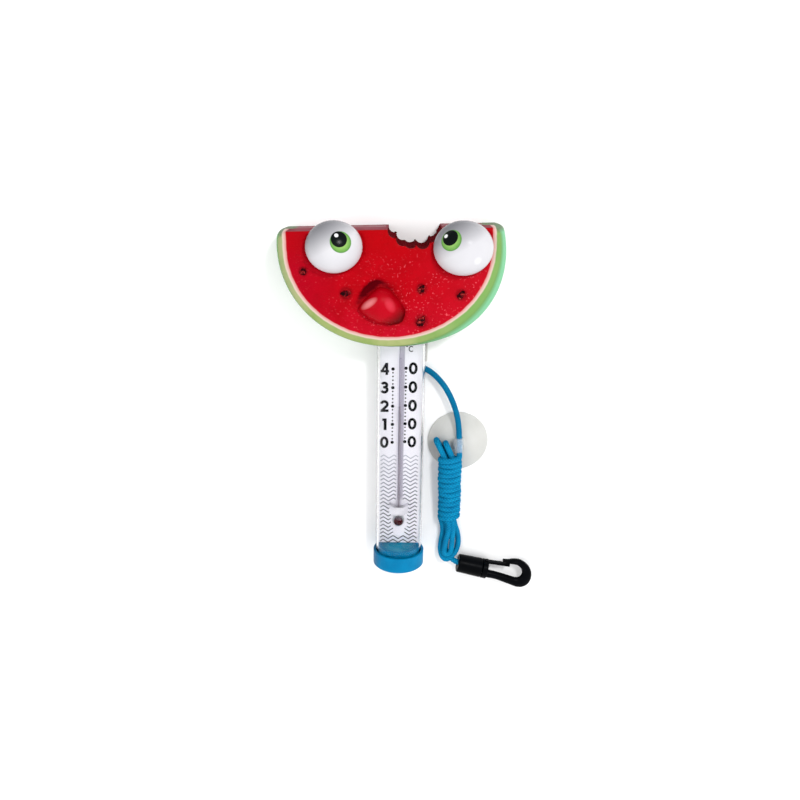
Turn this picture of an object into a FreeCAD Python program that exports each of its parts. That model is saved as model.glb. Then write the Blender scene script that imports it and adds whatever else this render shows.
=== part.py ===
"""Floating pool thermometer: a melon-slice float with a clear tube below it, a tether cord wound
into a hank, a suction cup threaded on the cord and a swivel snap hook on its end.

It lies on its back: +Z is the direction the face looks, +Y runs towards the top of the float,
z = 0 is the surface that it lies on. Lengths are in millimetres.
"""
import FreeCAD, Part
import Sketcher
import math
import os
import re
from FreeCAD import Placement, Rotation, Vector

doc = FreeCAD.newDocument("pool_thermometer")

# ---------------------------------------------------------------- driving dimensions
SIZES = {
    # where the tube's axis and the cap's underside lie, seen from the middle of the object
    "tube_axis_x": 5.62, "cap_base_y": -100.04, "axis_height": 14.7,
    # float: a half-disc slice, cut across a little above its centre
    "float_half_width": 56.0, "float_half_length": 50.9, "float_top": 9.2, "float_thick": 29.4,
    "float_x": -7.2, "float_y": 185.6, "float_lean": 1.85, "float_wall": 1.6,
    "rim_bulge": 3.2, "rim_lobe": 1.3, "rim_foot": 0.3, "skew_right": 1.2, "skew_down": 0.8,
    "edge_round": 1.0,
    "corner_front": 5.5, "corner_back": 2.0, "bite_radius": 3.5, "bite_left": 1.9,
    "bite_floor": 4.4, "bite_width": 20.5, "bite_lip": 2.3, "bite_lip_floor": 7.6,
    "eye_wall": 1.6, "eye_sink": 1.2, "eye_depth": 13.2,
    "nose_width": 12.8, "nose_length": 8.6, "nose_depth": 8.0, "nose_tip_size": 8.6,
    "seed_long": 3.1, "seed_wide": 2.0, "seed_high": 1.0,
    # tube and what stands in it
    "tube_radius": 13.2, "tube_wall": 1.1, "tube_foot": 2.6, "tube_top": 146.0,
    "plug_flange": 1.6, "plug_depth": 6.0,
    "card_width": 23.6, "card_thick": 0.5, "card_foot": 12.4, "card_top": 138.0,
    "capillary_radius": 1.6, "bore_radius": 0.4, "bulb_radius": 3.05, "bulb_y": 26.9,
    "glass_wall": 0.5, "capillary_top": 126.6, "bore_top": 124.6, "thread_top": 97.0, "glass_x": -0.3,
    "loop_radius": 1.25, "loop_wire": 0.35,
    "saddle_half_width": 5.4, "saddle_foot": 31.6, "saddle_top": 38.2, "saddle_thick": 4.0,
    # bottom cap, seal and ballast
    "cap_radius": 14.7, "cap_height": 9.2, "cap_lip": 1.2, "spigot_top": 12.0, "spigot_wall": 2.2,
    "spigot_gap": 0.1, "seal_radius": 0.9, "seal_y": 7.2, "ballast_radius": 9.0, "ballast_thick": 6.0,
    "cap_floor": 2.4, "lid_gap": 0.05,
    # tether lug under the float and the knot behind it
    "lug_base": 0.3, "lug_height": 6.3, "lug_hole": 2.1, "lug_hole_y": 116.2, "lug_hole_z": 3.2,
    "lug_ear_x": 11.9, "lug_ear_thick": 1.5, "lug_ear_foot": 112.6, "lug_ear_top": 124.0,
    "lug_arm_x": 12.9, "lug_arm_thick": 1.7, "lug_arm_foot": 120.5, "lug_arm_top": 138.0,
    "knot_radius": 2.2, "knot_x": 9.6, "knot_y": 116.8, "knot_z": 2.35,
    # cord, suction cup
    "cord_radius": 1.6, "cup_x": 33.6, "cup_y": 71.7, "cup_radius": 17.5, "cup_rim": 0.9,
    "cup_crown": 3.4, "cup_crown_radius": 8.0, "cup_hollow": 1.6, "cup_seat": 2.0,
    "ring_outer": 3.15, "ring_hole": 2.5, "ring_length": 8.0, "ring_height": 7.3, "cup_turn": 3.4,
    "cup_neck": 3.4, "cup_neck_top": 5.4,
    # hank
    "hank_x": 29.8, "hank_width": 14.0, "hank_thick": 11.6, "hank_foot": 24.2, "hank_length": 42.4,
    "hank_z": 6.1, "hank_lift": 5.3, "hank_turn": 1.4,
    # swivel and hook
    "swivel_x": 35.92, "swivel_y": -4.96, "swivel_z": 5.95, "swivel_angle": -12.7,
    "barrel_length": 14.7, "barrel_small": 5.45, "barrel_large": 5.8, "barrel_soft": 0.4,
    "barrel_cavity": 3.4, "barrel_mouth": 1.7, "barrel_front": 3.0, "barrel_end_wall": 2.4,
    "stem_radius": 1.9, "stem_gap": 0.06, "stem_head": 2.8, "stem_head_thick": 1.6, "stem_play": 0.2,
    "stopper_radius": 2.6, "collar_radius": 5.85, "collar_length": 3.2, "collar_gap": 0.3,
    "bar_high": 2.3, "tip_high": 1.7, "notch_end": 31.4, "notch_top": 7.14,
    "gate_root_x": 17.2, "gate_root_y": 4.9, "gate_root_radius": 1.25, "gate_length": 13.8,
    "gate_thick": 1.6, "gate_width": 3.0, "gate_angle": 4.6, "gate_pin": 0.65, "gate_pin_length": 4.8,
    "gate_play": 0.06, "gate_slot": 3.6, "gate_slot_gap": 0.35,
}

sheet = doc.addObject("Spreadsheet::Sheet", "Sizes")
for row, (alias, value) in enumerate(SIZES.items(), start=1):
    sheet.set(f"A{row}", alias)
    sheet.set(f"B{row}", str(value))
    sheet.setAlias(f"B{row}", alias)
doc.recompute()
nodes = []


def size(alias):
    """The value of one cell."""
    return float(sheet.get(alias))


def cell(expression):
    """An expression over the sheet: each alias gets the sheet's name before it."""
    return re.sub(r"[a-z_]+", lambda word: "Sizes." + word[0] if word[0] in SIZES else word[0], expression)


def bench(x, y, z, rotation=None):
    """A place given from the tube's axis, the cap's underside and the table."""
    base = Vector(size("tube_axis_x") + x, size("cap_base_y") + y, z)
    return Placement(base, rotation or Rotation())


def primitive(kind, label, placement=None, **expressions):
    """A Part primitive whose sizes are bound to the sheet."""
    solid = doc.addObject(f"Part::{kind}", label)
    solid.Label = label
    for prop, expression in expressions.items():
        solid.setExpression(prop, cell(expression))
    solid.Placement = placement or Placement()
    return solid


def cut(label, base, tool, placement=None):
    result = doc.addObject("Part::Cut", label)
    result.Label, result.Base, result.Tool = label, base, tool
    result.Placement = placement or Placement()
    return result


def fuse(label, shapes, placement=None):
    result = doc.addObject("Part::MultiFuse", label)
    result.Label, result.Shapes = label, shapes
    result.Placement = placement or Placement()
    return result


def common(label, base, tool, placement=None):
    result = doc.addObject("Part::Common", label)
    result.Label, result.Base, result.Tool = label, base, tool
    result.Placement = placement or Placement()
    return result


def feature(label, shape, placement=None):
    result = doc.addObject("Part::Feature", label)
    result.Label, result.Shape = label, shape
    result.Placement = placement or Placement()
    return result


def node(solid):
    """Keep a finished sub-part: its label names its file."""
    nodes.append(solid)
    return solid


# ---------------------------------------------------------------- sketched bodies
def new_body(label, placement):
    body = doc.addObject("PartDesign::Body", label)
    body.Label = label
    body.Placement = placement
    return body


def sketch_on(body, plane_role, name):
    plane = next(item for item in body.Origin.OriginFeatures if item.Role == plane_role)
    sketch = body.newObject("Sketcher::SketchObject", name)
    sketch.AttachmentSupport = [(plane, "")]
    sketch.MapMode = "FlatFace"
    return sketch


def hold_point(sketch, edge, end, x, y):
    """Tie one end point of an edge to expressions for its two coordinates."""
    for kind, expression, axis in (("DistanceX", x, -2), ("DistanceY", y, -1)):
        if expression == "0":
            sketch.addConstraint(Sketcher.Constraint("PointOnObject", edge, end, axis))
            continue
        value = evaluate(expression)
        index = sketch.addConstraint(Sketcher.Constraint(kind, -1, 1, edge, end, value))
        sketch.setExpression(f"Constraints[{index}]", cell(expression))


def evaluate(expression):
    """The present value of an expression, worked out by the document itself."""
    return float(sheet.evalExpression(cell(expression).replace("Sizes.", "")))


def polygon(sketch, points):
    """A closed outline whose corners are pairs of expressions over the sheet."""
    corners = [Vector(evaluate(x), evaluate(y), 0) for x, y in points]
    count = len(corners)
    for index in range(count):
        sketch.addGeometry(Part.LineSegment(corners[index], corners[(index + 1) % count]), False)
    for index in range(count):
        sketch.addConstraint(Sketcher.Constraint("Coincident", index, 2, (index + 1) % count, 1))
    for index, (x, y) in enumerate(points):
        hold_point(sketch, index, 1, x, y)


def circle(sketch, x, y, radius):
    """A circle whose centre and radius are expressions over the sheet."""
    centre = Vector(evaluate(x), evaluate(y), 0)
    index = sketch.addGeometry(Part.Circle(centre, Vector(0, 0, 1), evaluate(radius)), False)
    held = sketch.addConstraint(Sketcher.Constraint("Radius", index, evaluate(radius)))
    sketch.setExpression(f"Constraints[{held}]", cell(radius))
    hold_point(sketch, index, 3, x, y)


def revolved(label, placement, points, plane="XY_Plane"):
    """A turned piece: an outline of (radius, distance along the axis), revolved all round."""
    body = new_body(label, placement)
    sketch = sketch_on(body, plane, f"{label}_outline")
    polygon(sketch, points)
    turn = body.newObject("PartDesign::Revolution", f"{label}_turned")
    turn.Profile = sketch
    turn.ReferenceAxis = (sketch, ["V_Axis"])
    turn.Angle = 360
    sketch.Visibility = False
    return body


def padded(label, placement, points, thickness, plane="XY_Plane"):
    """A flat piece: an outline given a thickness, half to each side of its plane."""
    body = new_body(label, placement)
    sketch = sketch_on(body, plane, f"{label}_outline")
    polygon(sketch, points)
    pad = body.newObject("PartDesign::Pad", f"{label}_pad")
    pad.Profile = sketch
    pad.setExpression("Length", cell(thickness))
    pad.SideType = "Symmetric"
    return body


# ---------------------------------------------------------------- the float
FLOAT_PLACE = bench(size("float_x"), size("float_y"), size("axis_height"),
                    Rotation(Vector(0, 0, 1), size("float_lean")))
HALF_THICK = size("float_thick") / 2
LOBE_DIRECTION = math.radians(-40)
WIDEST_DEPTH = -2.0


def rim_offset(angle, depth):
    """How far the rind bulges past the face's outline, at an angle and a depth."""
    arch = 1 - ((depth - WIDEST_DEPTH) / (HALF_THICK - WIDEST_DEPTH)) ** 2
    lobe = max(0.0, math.cos(angle - LOBE_DIRECTION)) ** 4
    foot = max(0.0, -math.sin(angle)) ** 8
    return size("rim_bulge") * arch * (1 + size("rim_lobe") * lobe) * (1 - size("rim_foot") * foot)


def slice_outline(depth, inset):
    """The slice's outline at one depth, as a wire: flat top, two corner arcs and the rind."""
    back = (HALF_THICK - depth) / size("float_thick")
    shift = Vector(size("skew_right") * back, -size("skew_down") * back, 0)
    top = size("float_top") - inset

    def rind(angle):
        grow = rim_offset(angle, depth) - inset
        x = (size("float_half_width") + grow) * math.cos(angle)
        y = (size("float_half_length") + grow) * math.sin(angle)
        return Vector(x, y, depth) + shift

    corner = size("corner_front") + (size("corner_back") - size("corner_front")) * back
    start = math.asin((top - corner - shift.y) / size("float_half_length"))
    end = -math.pi - start
    steps = 14
    curve = Part.BSplineCurve()
    curve.interpolate([rind(start + (end - start) * step / steps) for step in range(steps + 1)])
    right, left = rind(start), rind(end)
    top_right = Vector(right.x - corner, top, depth)
    top_left = Vector(left.x + corner, top, depth)
    reach = corner * (1 - math.sqrt(0.5))
    right_arc = Part.Arc(top_right, Vector(right.x - reach, top - reach, depth), right)
    left_arc = Part.Arc(left, Vector(left.x + reach, top - reach, depth), top_left)
    edges = [Part.LineSegment(top_left, top_right), right_arc, curve, left_arc]
    return Part.Wire([edge.toShape() for edge in edges])


def slice_solid(inset):
    """The slice as a solid, moved in by an inset all round, with a softened front edge."""
    front, back = HALF_THICK - inset, -HALF_THICK + inset
    soft = size("edge_round")
    levels = [(front, soft), (front - 0.3 * soft, 0.3 * soft), (front - soft, 0.0)]
    levels += [(depth, 0.0) for depth in (8.0, 2.0, -4.0, -9.0)]
    levels += [(back + soft, 0.0), (back + 0.3 * soft, 0.3 * soft), (back, soft)]
    return Part.makeLoft([slice_outline(depth, inset + extra) for depth, extra in levels], True, False)


# Tooth marks of the bite: centre of each, from the float's own centre.
BITE_MARKS = [(3.1, 8.4), (7.2, 4.3), (11.2, 3.0), (17.2, 2.6), (21.9, 6.0)]
THROUGH = 10.0


def bite_box(label, x, y, length):
    """A box up through the slice and out past its flat top."""
    low = Vector(x, y, -(size("float_thick") + THROUGH) / 2)
    return primitive("Box", label, Placement(low, Rotation()), Length=length, Width=f"{2 * THROUGH}",
                     Height=f"float_thick + {THROUGH}")


def bite_tool(label, grow):
    """The bite as a solid through the slice, its walls moved out by a growth."""
    marks = []
    for index, (x, y) in enumerate(BITE_MARKS):
        place = Placement(Vector(x, y, -(size("float_thick") + THROUGH) / 2), Rotation())
        marks.append(primitive("Cylinder", f"{label}_mark{index}", place,
                               Radius=f"bite_radius + {grow}", Height=f"float_thick + {THROUGH}"))
    slot = bite_box(f"{label}_slot", size("bite_left"), size("bite_floor"), "bite_width")
    mouth = bite_box(f"{label}_mouth", size("bite_left") - size("bite_lip") - grow, size("bite_lip_floor"),
                     f"bite_width + 2 * bite_lip + 2 * {grow}")
    return fuse(label, marks + [slot, mouth])


slab = feature("slice_slab", slice_solid(0.0))
slab_inside = feature("slice_inside", slice_solid(size("float_wall")))
slice_bitten = cut("slice_bitten", slab, bite_tool("bite", 0.0))
cavity = cut("slice_cavity", slab_inside, bite_tool("bite_wall", size("float_wall")))
slice_hollow = cut("slice_hollow", slice_bitten, cavity)

# The tube enters the float from below, so its seat is cut along the tube's own axis.
TUBE_PLACE = bench(0, 0, size("axis_height"))
ALONG_Y = Rotation(Vector(1, 0, 0), -90)
tube_seat = primitive("Cylinder", "tube_seat",
                      FLOAT_PLACE.inverse() * bench(0, 100, size("axis_height"), ALONG_Y),
                      Radius="tube_radius", Height="tube_top + plug_flange - 100")
slice_bored = cut("slice_bored", slice_hollow, tube_seat)
HALF_SPACE = 200


def half_space(label, foot):
    """A big box from a depth upwards: what is in it belongs to one half of the slice."""
    low = Vector(-HALF_SPACE / 2, -HALF_SPACE / 2, foot)
    return primitive("Box", label, Placement(low, Rotation()), Length=f"{HALF_SPACE}", Width=f"{HALF_SPACE}",
                     Height=f"{HALF_SPACE}")


front_half, back_half = half_space("front_half", 0), half_space("back_half", -HALF_SPACE)
node(common("front_shell", slice_bored, front_half, FLOAT_PLACE))
node(common("back_shell", slice_bored, back_half, FLOAT_PLACE))

# ---------------------------------------------------------------- the face
# Each eye: its centre from the float's centre, its half width and half length.
EYES = {"eye_left": (-27.8, 1.3, 14.5, 13.2), "eye_right": (37.7, -0.6, 15.2, 13.8)}


def ellipsoid(label, centre, across, along, depth):
    """An ellipsoid: half sizes along X, Y and Z. Radius1 is the Z half size in this primitive."""
    solid = primitive("Ellipsoid", label, Placement(Vector(*centre), Rotation()),
                      Radius1=str(depth), Radius2=str(across), Radius3=str(along))
    return solid


def eye(label):
    x, y, across, along = EYES[label]
    centre = (x, y, HALF_THICK + size("eye_sink"))
    outer = ellipsoid(f"{label}_outer", centre, across, along, "eye_depth")
    wall = size("eye_wall")
    inner = ellipsoid(f"{label}_inner", centre, across - wall, along - wall, "eye_depth - eye_wall")
    shell = cut(f"{label}_shell", outer, inner)
    return cut(label, shell, slice_bitten, FLOAT_PLACE)


for eye_label in EYES:
    node(eye(eye_label))

# The nose is a rounded triangle: a broad mound with a smaller one above it.
nose_mound = ellipsoid("nose_mound", (-3.4, -31.6, HALF_THICK), "nose_width", "nose_length", "nose_depth")
nose_top = ellipsoid("nose_top", (-4.4, -28.6, HALF_THICK), "nose_tip_size", "nose_tip_size + 1.4",
                     "nose_depth - 0.4")
nose_whole = fuse("nose_whole", [nose_mound, nose_top])
node(cut("nose", nose_whole, slice_bitten, FLOAT_PLACE))

# Each seed: its place on the face and the way it points, in degrees.
SEEDS = [(-43.6, -11.0, 75), (-22.9, -22.8, 5), (16.3, -21.4, 60), (36.8, -24.4, 60), (15.6, -38.3, 60)]


def seed(index, x, y, turn):
    place = Placement(Vector(x, y, HALF_THICK), Rotation(Vector(0, 0, 1), turn))
    return primitive("Ellipsoid", f"seed{index}", place,
                     Radius1="seed_high", Radius2="seed_long", Radius3="seed_wide")


seed_group = fuse("seed_group", [seed(index, *values) for index, values in enumerate(SEEDS)])
node(cut("seeds", seed_group, slice_bitten, FLOAT_PLACE))

# ---------------------------------------------------------------- tube and top plug
node(revolved("tube", TUBE_PLACE, [
    ("tube_radius - tube_wall", "tube_foot"), ("tube_radius", "tube_foot"),
    ("tube_radius", "tube_top"), ("tube_radius - tube_wall", "tube_top")]))

node(revolved("top_plug", TUBE_PLACE, [
    ("0", "tube_top - plug_depth"), ("tube_radius - tube_wall", "tube_top - plug_depth"),
    ("tube_radius - tube_wall", "tube_top"), ("tube_radius", "tube_top"),
    ("tube_radius", "tube_top + plug_flange"), ("0", "tube_top + plug_flange")]))

# ---------------------------------------------------------------- scale and glass
CARD_DROP = 1.0
card_face = size("axis_height") - CARD_DROP + size("card_thick") / 2
GLASS_PLACE = bench(size("glass_x"), 0, card_face + size("capillary_radius"))

card = padded("scale_card", bench(0, 0, size("axis_height") - CARD_DROP), [
    ("-card_width / 2", "card_foot"), ("card_width / 2", "card_foot"),
    ("card_width / 2", "card_top"), ("-card_width / 2", "card_top")], "card_thick")
circle(doc.getObject("scale_card_outline"), "glass_x", "bulb_y", "bulb_radius + 0.4")
node(card)


def glass_form(label, shrink, top):
    """The bulb and the stem above it as one form, its walls moved in by a shrinkage."""
    bulb = primitive("Sphere", f"{label}_bulb", Placement(Vector(0, size("bulb_y"), 0), Rotation()),
                     Radius=f"bulb_radius - {shrink}")
    stem_radius = "capillary_radius" if label == "glass" else "bore_radius"
    stem = primitive("Cylinder", f"{label}_stem", Placement(Vector(0, size("bulb_y"), 0), ALONG_Y),
                     Radius=stem_radius, Height=f"{top} - bulb_y")
    return [bulb, stem]


glass = fuse("glass_outside", glass_form("glass", "0", "capillary_top"))
bore = fuse("glass_bore", glass_form("bore", "glass_wall", "bore_top"))
node(cut("glass_capillary", glass, bore, GLASS_PLACE))
node(fuse("spirit_fill", glass_form("spirit", "glass_wall", "thread_top"), GLASS_PLACE))

loop_y = size("capillary_top") + size("loop_radius") + size("loop_wire")
node(primitive("Torus", "capillary_loop", GLASS_PLACE * Placement(Vector(0, loop_y, 0), Rotation()),
               Radius1="loop_radius", Radius2="loop_wire"))

saddle_block = padded("saddle_block", Placement(Vector(0, 0, size("saddle_thick") / 2), Rotation()), [
    ("-saddle_half_width", "saddle_foot + 1.6"), ("-saddle_half_width + 2.6", "saddle_foot"),
    ("saddle_half_width - 2.6", "saddle_foot"), ("saddle_half_width", "saddle_foot + 1.6"),
    ("saddle_half_width", "saddle_top"), ("saddle_half_width - 2.8", "saddle_top - 1.8"),
    ("-saddle_half_width + 2.8", "saddle_top - 1.8"), ("-saddle_half_width", "saddle_top")],
    "saddle_thick")
saddle_round = primitive("Cylinder", "saddle_round",
                         Placement(Vector(0, 0, size("capillary_radius")), ALONG_Y),
                         Radius="capillary_radius", Height="capillary_top")
saddle_mouth = primitive("Box", "saddle_mouth",
                         Placement(Vector(-size("capillary_radius"), 0, -1), Rotation()),
                         Length="2 * capillary_radius", Width="capillary_top",
                         Height="capillary_radius + 1")
saddle_groove = fuse("saddle_groove", [saddle_round, saddle_mouth])
node(cut("bulb_saddle", saddle_block, saddle_groove, bench(size("glass_x"), 0, card_face)))

# ---------------------------------------------------------------- bottom cap
SOFT = 0.8
SPIGOT = "tube_radius - tube_wall - spigot_gap"
GROOVE = "tube_radius - tube_wall - 2 * seal_radius"
node(revolved("bottom_cap", TUBE_PLACE, [
    ("0", "0"), (f"cap_radius - {SOFT}", "0"), ("cap_radius", f"{SOFT}"),
    ("cap_radius", "cap_height - cap_lip / 4"), ("cap_radius - cap_lip / 4", "cap_height"),
    ("tube_radius + spigot_gap", "cap_height"), ("tube_radius + spigot_gap", "tube_foot"),
    (SPIGOT, "tube_foot"), (SPIGOT, "seal_y - seal_radius"), (GROOVE, "seal_y - seal_radius"),
    (GROOVE, "seal_y + seal_radius"), (SPIGOT, "seal_y + seal_radius"), (SPIGOT, "spigot_top"),
    (f"{SPIGOT} - spigot_wall", "spigot_top"), (f"{SPIGOT} - spigot_wall", "cap_floor"),
    ("0", "cap_floor")]))
node(primitive("Torus", "cap_seal", TUBE_PLACE * Placement(Vector(0, size("seal_y"), 0), ALONG_Y),
               Radius1="tube_radius - tube_wall - seal_radius", Radius2="seal_radius"))
node(primitive("Cylinder", "ballast_weight", TUBE_PLACE * Placement(Vector(0, size("cap_floor"), 0), ALONG_Y),
               Radius="ballast_radius", Height="ballast_thick"))
lid_foot = Vector(0, size("cap_floor") + size("ballast_thick"), 0)
node(primitive("Cylinder", "spigot_lid", TUBE_PLACE * Placement(lid_foot, ALONG_Y),
               Radius=f"{SPIGOT} - spigot_wall - lid_gap", Height="spigot_top - cap_floor - ballast_thick"))

# ---------------------------------------------------------------- tether lug and knot
IN_FLOAT = FLOAT_PLACE.inverse()
ALONG_X = Rotation(Vector(0, 1, 0), 90)


def lug_box(part):
    place = bench(size(f"lug_{part}_x"), size(f"lug_{part}_foot"), size("lug_base"))
    return primitive("Box", f"lug_{part}", IN_FLOAT * place, Length=f"lug_{part}_thick",
                     Width=f"lug_{part}_top - lug_{part}_foot", Height="lug_height")


lug_hole = primitive("Cylinder", "lug_bore",
                     IN_FLOAT * bench(size("lug_ear_x") - 1, size("lug_hole_y"), size("lug_hole_z"), ALONG_X),
                     Radius="lug_hole", Height="lug_ear_thick + 2")
lug_drilled = cut("lug_drilled", fuse("lug_blank", [lug_box("ear"), lug_box("arm")]), lug_hole)
node(cut("tether_lug", lug_drilled, slice_bitten, FLOAT_PLACE))
node(primitive("Sphere", "tether_knot", bench(size("knot_x"), size("knot_y"), size("knot_z")),
               Radius="knot_radius"))

# ---------------------------------------------------------------- suction cup
CUP_PLACE = bench(size("cup_x"), size("cup_y"), 0, Rotation(Vector(0, 0, 1), size("cup_turn")))
cup = revolved("suction_cup", CUP_PLACE, [
    ("0", "cup_hollow"), ("cup_crown_radius", "cup_hollow * 0.8"), ("cup_radius - cup_seat", "0"),
    ("cup_radius", "0"), ("cup_radius", "cup_rim"), ("cup_crown_radius", "cup_crown"),
    ("cup_neck", "cup_crown + 0.7"), ("cup_neck", "cup_neck_top"), ("0", "cup_neck_top")], "XZ_Plane")
ring_sketch = sketch_on(cup, "XZ_Plane", "cup_ring_outline")
circle(ring_sketch, "0", "ring_height", "ring_outer")
ring = cup.newObject("PartDesign::Pad", "cup_ring")
ring.Profile = ring_sketch
ring.SideType = "Symmetric"
ring.setExpression("Length", cell("ring_length"))
doc.recompute()
solid_before = cup.Shape.Volume
hole_sketch = sketch_on(cup, "XZ_Plane", "cup_hole_outline")
circle(hole_sketch, "0", "ring_height", "ring_hole")
hole = cup.newObject("PartDesign::Pocket", "cup_hole")
hole.Profile = hole_sketch
hole.SideType = "Symmetric"
hole.setExpression("Length", cell("2 * ring_length"))
doc.recompute()
assert cup.Shape.Volume < solid_before - 10, "the cord's hole in the suction cup cuts nothing"
node(cup)

# ---------------------------------------------------------------- cord
# The free stretch, from the knot behind the lug, through the cup's ring, to the hank.
FREE_ROUTE = [(10.2, 116.9, 2.9), (14.2, 115.6, 3.6), (19.4, 112.2, 5.2), (24.3, 106.9, 6.4),
              (28.2, 100.4, 7.0), (31.2, 93.0, 7.2), (33.2, 85.2, 7.3), (34.0, 75.0, 7.3),
              (34.4, 62.8, 7.6)]
# The tail, from the foot of the hank to the stopper in the swivel's barrel.
TAIL_ROUTE = [(28.4, 0.8, 2.4), (31.7, -2.9, 4.0), (35.4, -4.85, 5.62), (39.5, -5.77, 5.95)]


def cord_tube(label, route):
    """A plain tube along straight runs joined by tangent arcs."""
    points = [bench(*point).Base for point in route]
    edges, start = [], points[0]
    for before, corner, after in zip(points, points[1:], points[2:]):
        come, leave = (corner - before).normalize(), (after - corner).normalize()
        turn = come.getAngle(leave)
        setback = 0.45 * min(before.distanceToPoint(corner), corner.distanceToPoint(after))
        radius = setback / math.tan(turn / 2)
        print(f"{label}: arc radius {radius:.1f} mm, turn {math.degrees(turn):.1f} degrees")
        enter, exit_ = corner - come * setback, corner + leave * setback
        inward = (leave - come).normalize()
        middle = corner + inward * (radius / math.cos(turn / 2) - radius)
        edges.append(Part.LineSegment(start, enter).toShape())
        edges.append(Part.Arc(enter, middle, exit_).toShape())
        start = exit_
    edges.append(Part.LineSegment(start, points[-1]).toShape())
    path = Part.Wire(edges)
    direction = points[1] - points[0]
    section = Part.Wire(Part.makeCircle(size("cord_radius"), points[0], direction))
    tube = path.makePipeShell([section], True, False)
    expected = math.pi * size("cord_radius") ** 2 * path.Length
    print(f"{label}: length {path.Length:.1f} mm, volume {tube.Volume:.0f} for {expected:.0f} mm3")
    return node(feature(label, tube))


cord_tube("cord_free", FREE_ROUTE)
cord_tube("cord_tail", TAIL_ROUTE)


def hank_bundle():
    """The wrapped stretch of the hank: an oval bar, lifted at its head by the cup under it."""
    oval = Part.Ellipse(Vector(0, 0, 0), size("hank_width") / 2, size("hank_thick") / 2).toShape()
    bar = Part.Face(Part.Wire(oval)).extrude(Vector(0, 0, size("hank_length")))
    turn = Rotation(Vector(0, 0, 1), size("hank_turn")) * Rotation(Vector(1, 0, 0), size("hank_lift"))
    place = bench(size("hank_x"), size("hank_foot"), size("hank_z"), turn * ALONG_Y)
    return feature("hank_bundle", bar, place)


# Loops at the hank's two ends: centre and half sizes.
HANK_LOOPS = {"hank_head": ((25.0, 66.0, 7.8), (4.7, 9.6, 3.6)),
              "hank_tail": ((30.4, 11.0, 4.35), (7.0, 15.2, 4.0))}


def hank_loops(label):
    centre, (across, along, high) = HANK_LOOPS[label]
    return primitive("Ellipsoid", label, bench(*centre), Radius1=str(high), Radius2=str(across),
                     Radius3=str(along))


node(fuse("cord_hank", [hank_bundle()] + [hank_loops(label) for label in HANK_LOOPS]))

# ---------------------------------------------------------------- swivel and snap hook
SWIVEL_CENTRE = (size("swivel_x"), size("swivel_y"), size("swivel_z"))
HOOK_PLACE = bench(*SWIVEL_CENTRE, Rotation(Vector(0, 0, 1), size("swivel_angle")))
BARREL_PLACE = bench(*SWIVEL_CENTRE, Rotation(Vector(0, 0, 1), size("swivel_angle") - 90))
INNER_END = "barrel_length - barrel_end_wall"
HOOK_BORE = "stem_radius + stem_gap"
node(revolved("swivel_barrel", BARREL_PLACE, [
    ("barrel_mouth", "0"), ("barrel_small - barrel_soft", "0"), ("barrel_small", "barrel_soft"),
    ("barrel_large", "barrel_length - barrel_soft"), ("barrel_large - barrel_soft", "barrel_length"),
    (HOOK_BORE, "barrel_length"), (HOOK_BORE, INNER_END), ("barrel_cavity", INNER_END),
    ("barrel_cavity", "barrel_front"), ("barrel_mouth", "barrel_front")]))
stopper_x = size("barrel_front") + size("stopper_radius")
node(primitive("Sphere", "cord_stopper", HOOK_PLACE * Placement(Vector(stopper_x, 0, 0), Rotation()),
               Radius="stopper_radius"))

collar_x = size("barrel_length") + size("collar_gap")
head_x = size("barrel_length") - size("barrel_end_wall") - size("stem_play") - size("stem_head_thick")
# The bar's middle line from the collar to the start of the curl: x, y, heading and half width.
BAR_RUN = [(17.0, -2.9, 0, 2.6), (20.0, -2.9, -2, 2.45), (23.4, -2.85, -4, 2.35), (27.0, -3.1, -6, 2.4),
           (30.6, -3.55, -7, 2.55)]
# The curl about its own centre: direction, distance of the middle line and half width.
CURL_CENTRE = Vector(36.4, 1.9, 0)
CURL = [(-103, 6.15, 2.7), (-80, 6.35, 3.0), (-60, 6.85, 3.45), (-40, 7.0, 3.65), (-20, 6.75, 3.4),
        (0, 6.4, 3.1), (20, 6.15, 2.8), (40, 6.05, 2.55), (60, 6.15, 2.3), (80, 6.5, 2.15),
        (100, 7.1, 1.95), (120, 7.75, 1.75)]
# The nose above the gate, as the bar's run.
NOSE_RUN = [(30.3, 8.15, 194, 1.35), (28.3, 8.02, 184, 0.95), (26.2, 8.05, 180, 0.85)]


def section(x, y, heading, half_wide, half_high):
    """An oval cut of the bar at a point, square to its heading in degrees."""
    oval = Part.makeCircle(1, Vector(0, 0, 0), Vector(1, 0, 0))
    stretch = FreeCAD.Matrix()
    stretch.scale(Vector(1, half_wide, half_high))
    wire = Part.Wire([oval]).transformGeometry(stretch)
    wire.Placement = Placement(Vector(x, y, 0), Rotation(Vector(0, 0, 1), heading))
    return wire


def hook_bar():
    """The bar from the collar round the curl to the nose's tip, as one smooth form."""
    high = size("bar_high")
    cuts = [section(x, y, heading, wide, high) for x, y, heading, wide in BAR_RUN]
    for direction, distance, wide in CURL:
        ray = Vector(math.cos(math.radians(direction)), math.sin(math.radians(direction)), 0)
        spot = CURL_CENTRE + ray * distance
        cuts.append(section(spot.x, spot.y, direction + 90, wide, high))
    for step, (x, y, heading, wide) in enumerate(NOSE_RUN, start=1):
        lower = high + (size("tip_high") - high) * step / len(NOSE_RUN)
        cuts.append(section(x, y, heading, wide, lower))
    return feature("hook_bar", Part.makeLoft(cuts, True, False))


def disc(label, x, radius, thick):
    return primitive("Cylinder", label, Placement(Vector(x, 0, 0), ALONG_X), Radius=radius, Height=thick)


def block(label, low, length, width, height):
    return primitive("Box", label, Placement(low, Rotation()), Length=length, Width=width, Height=height)


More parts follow.
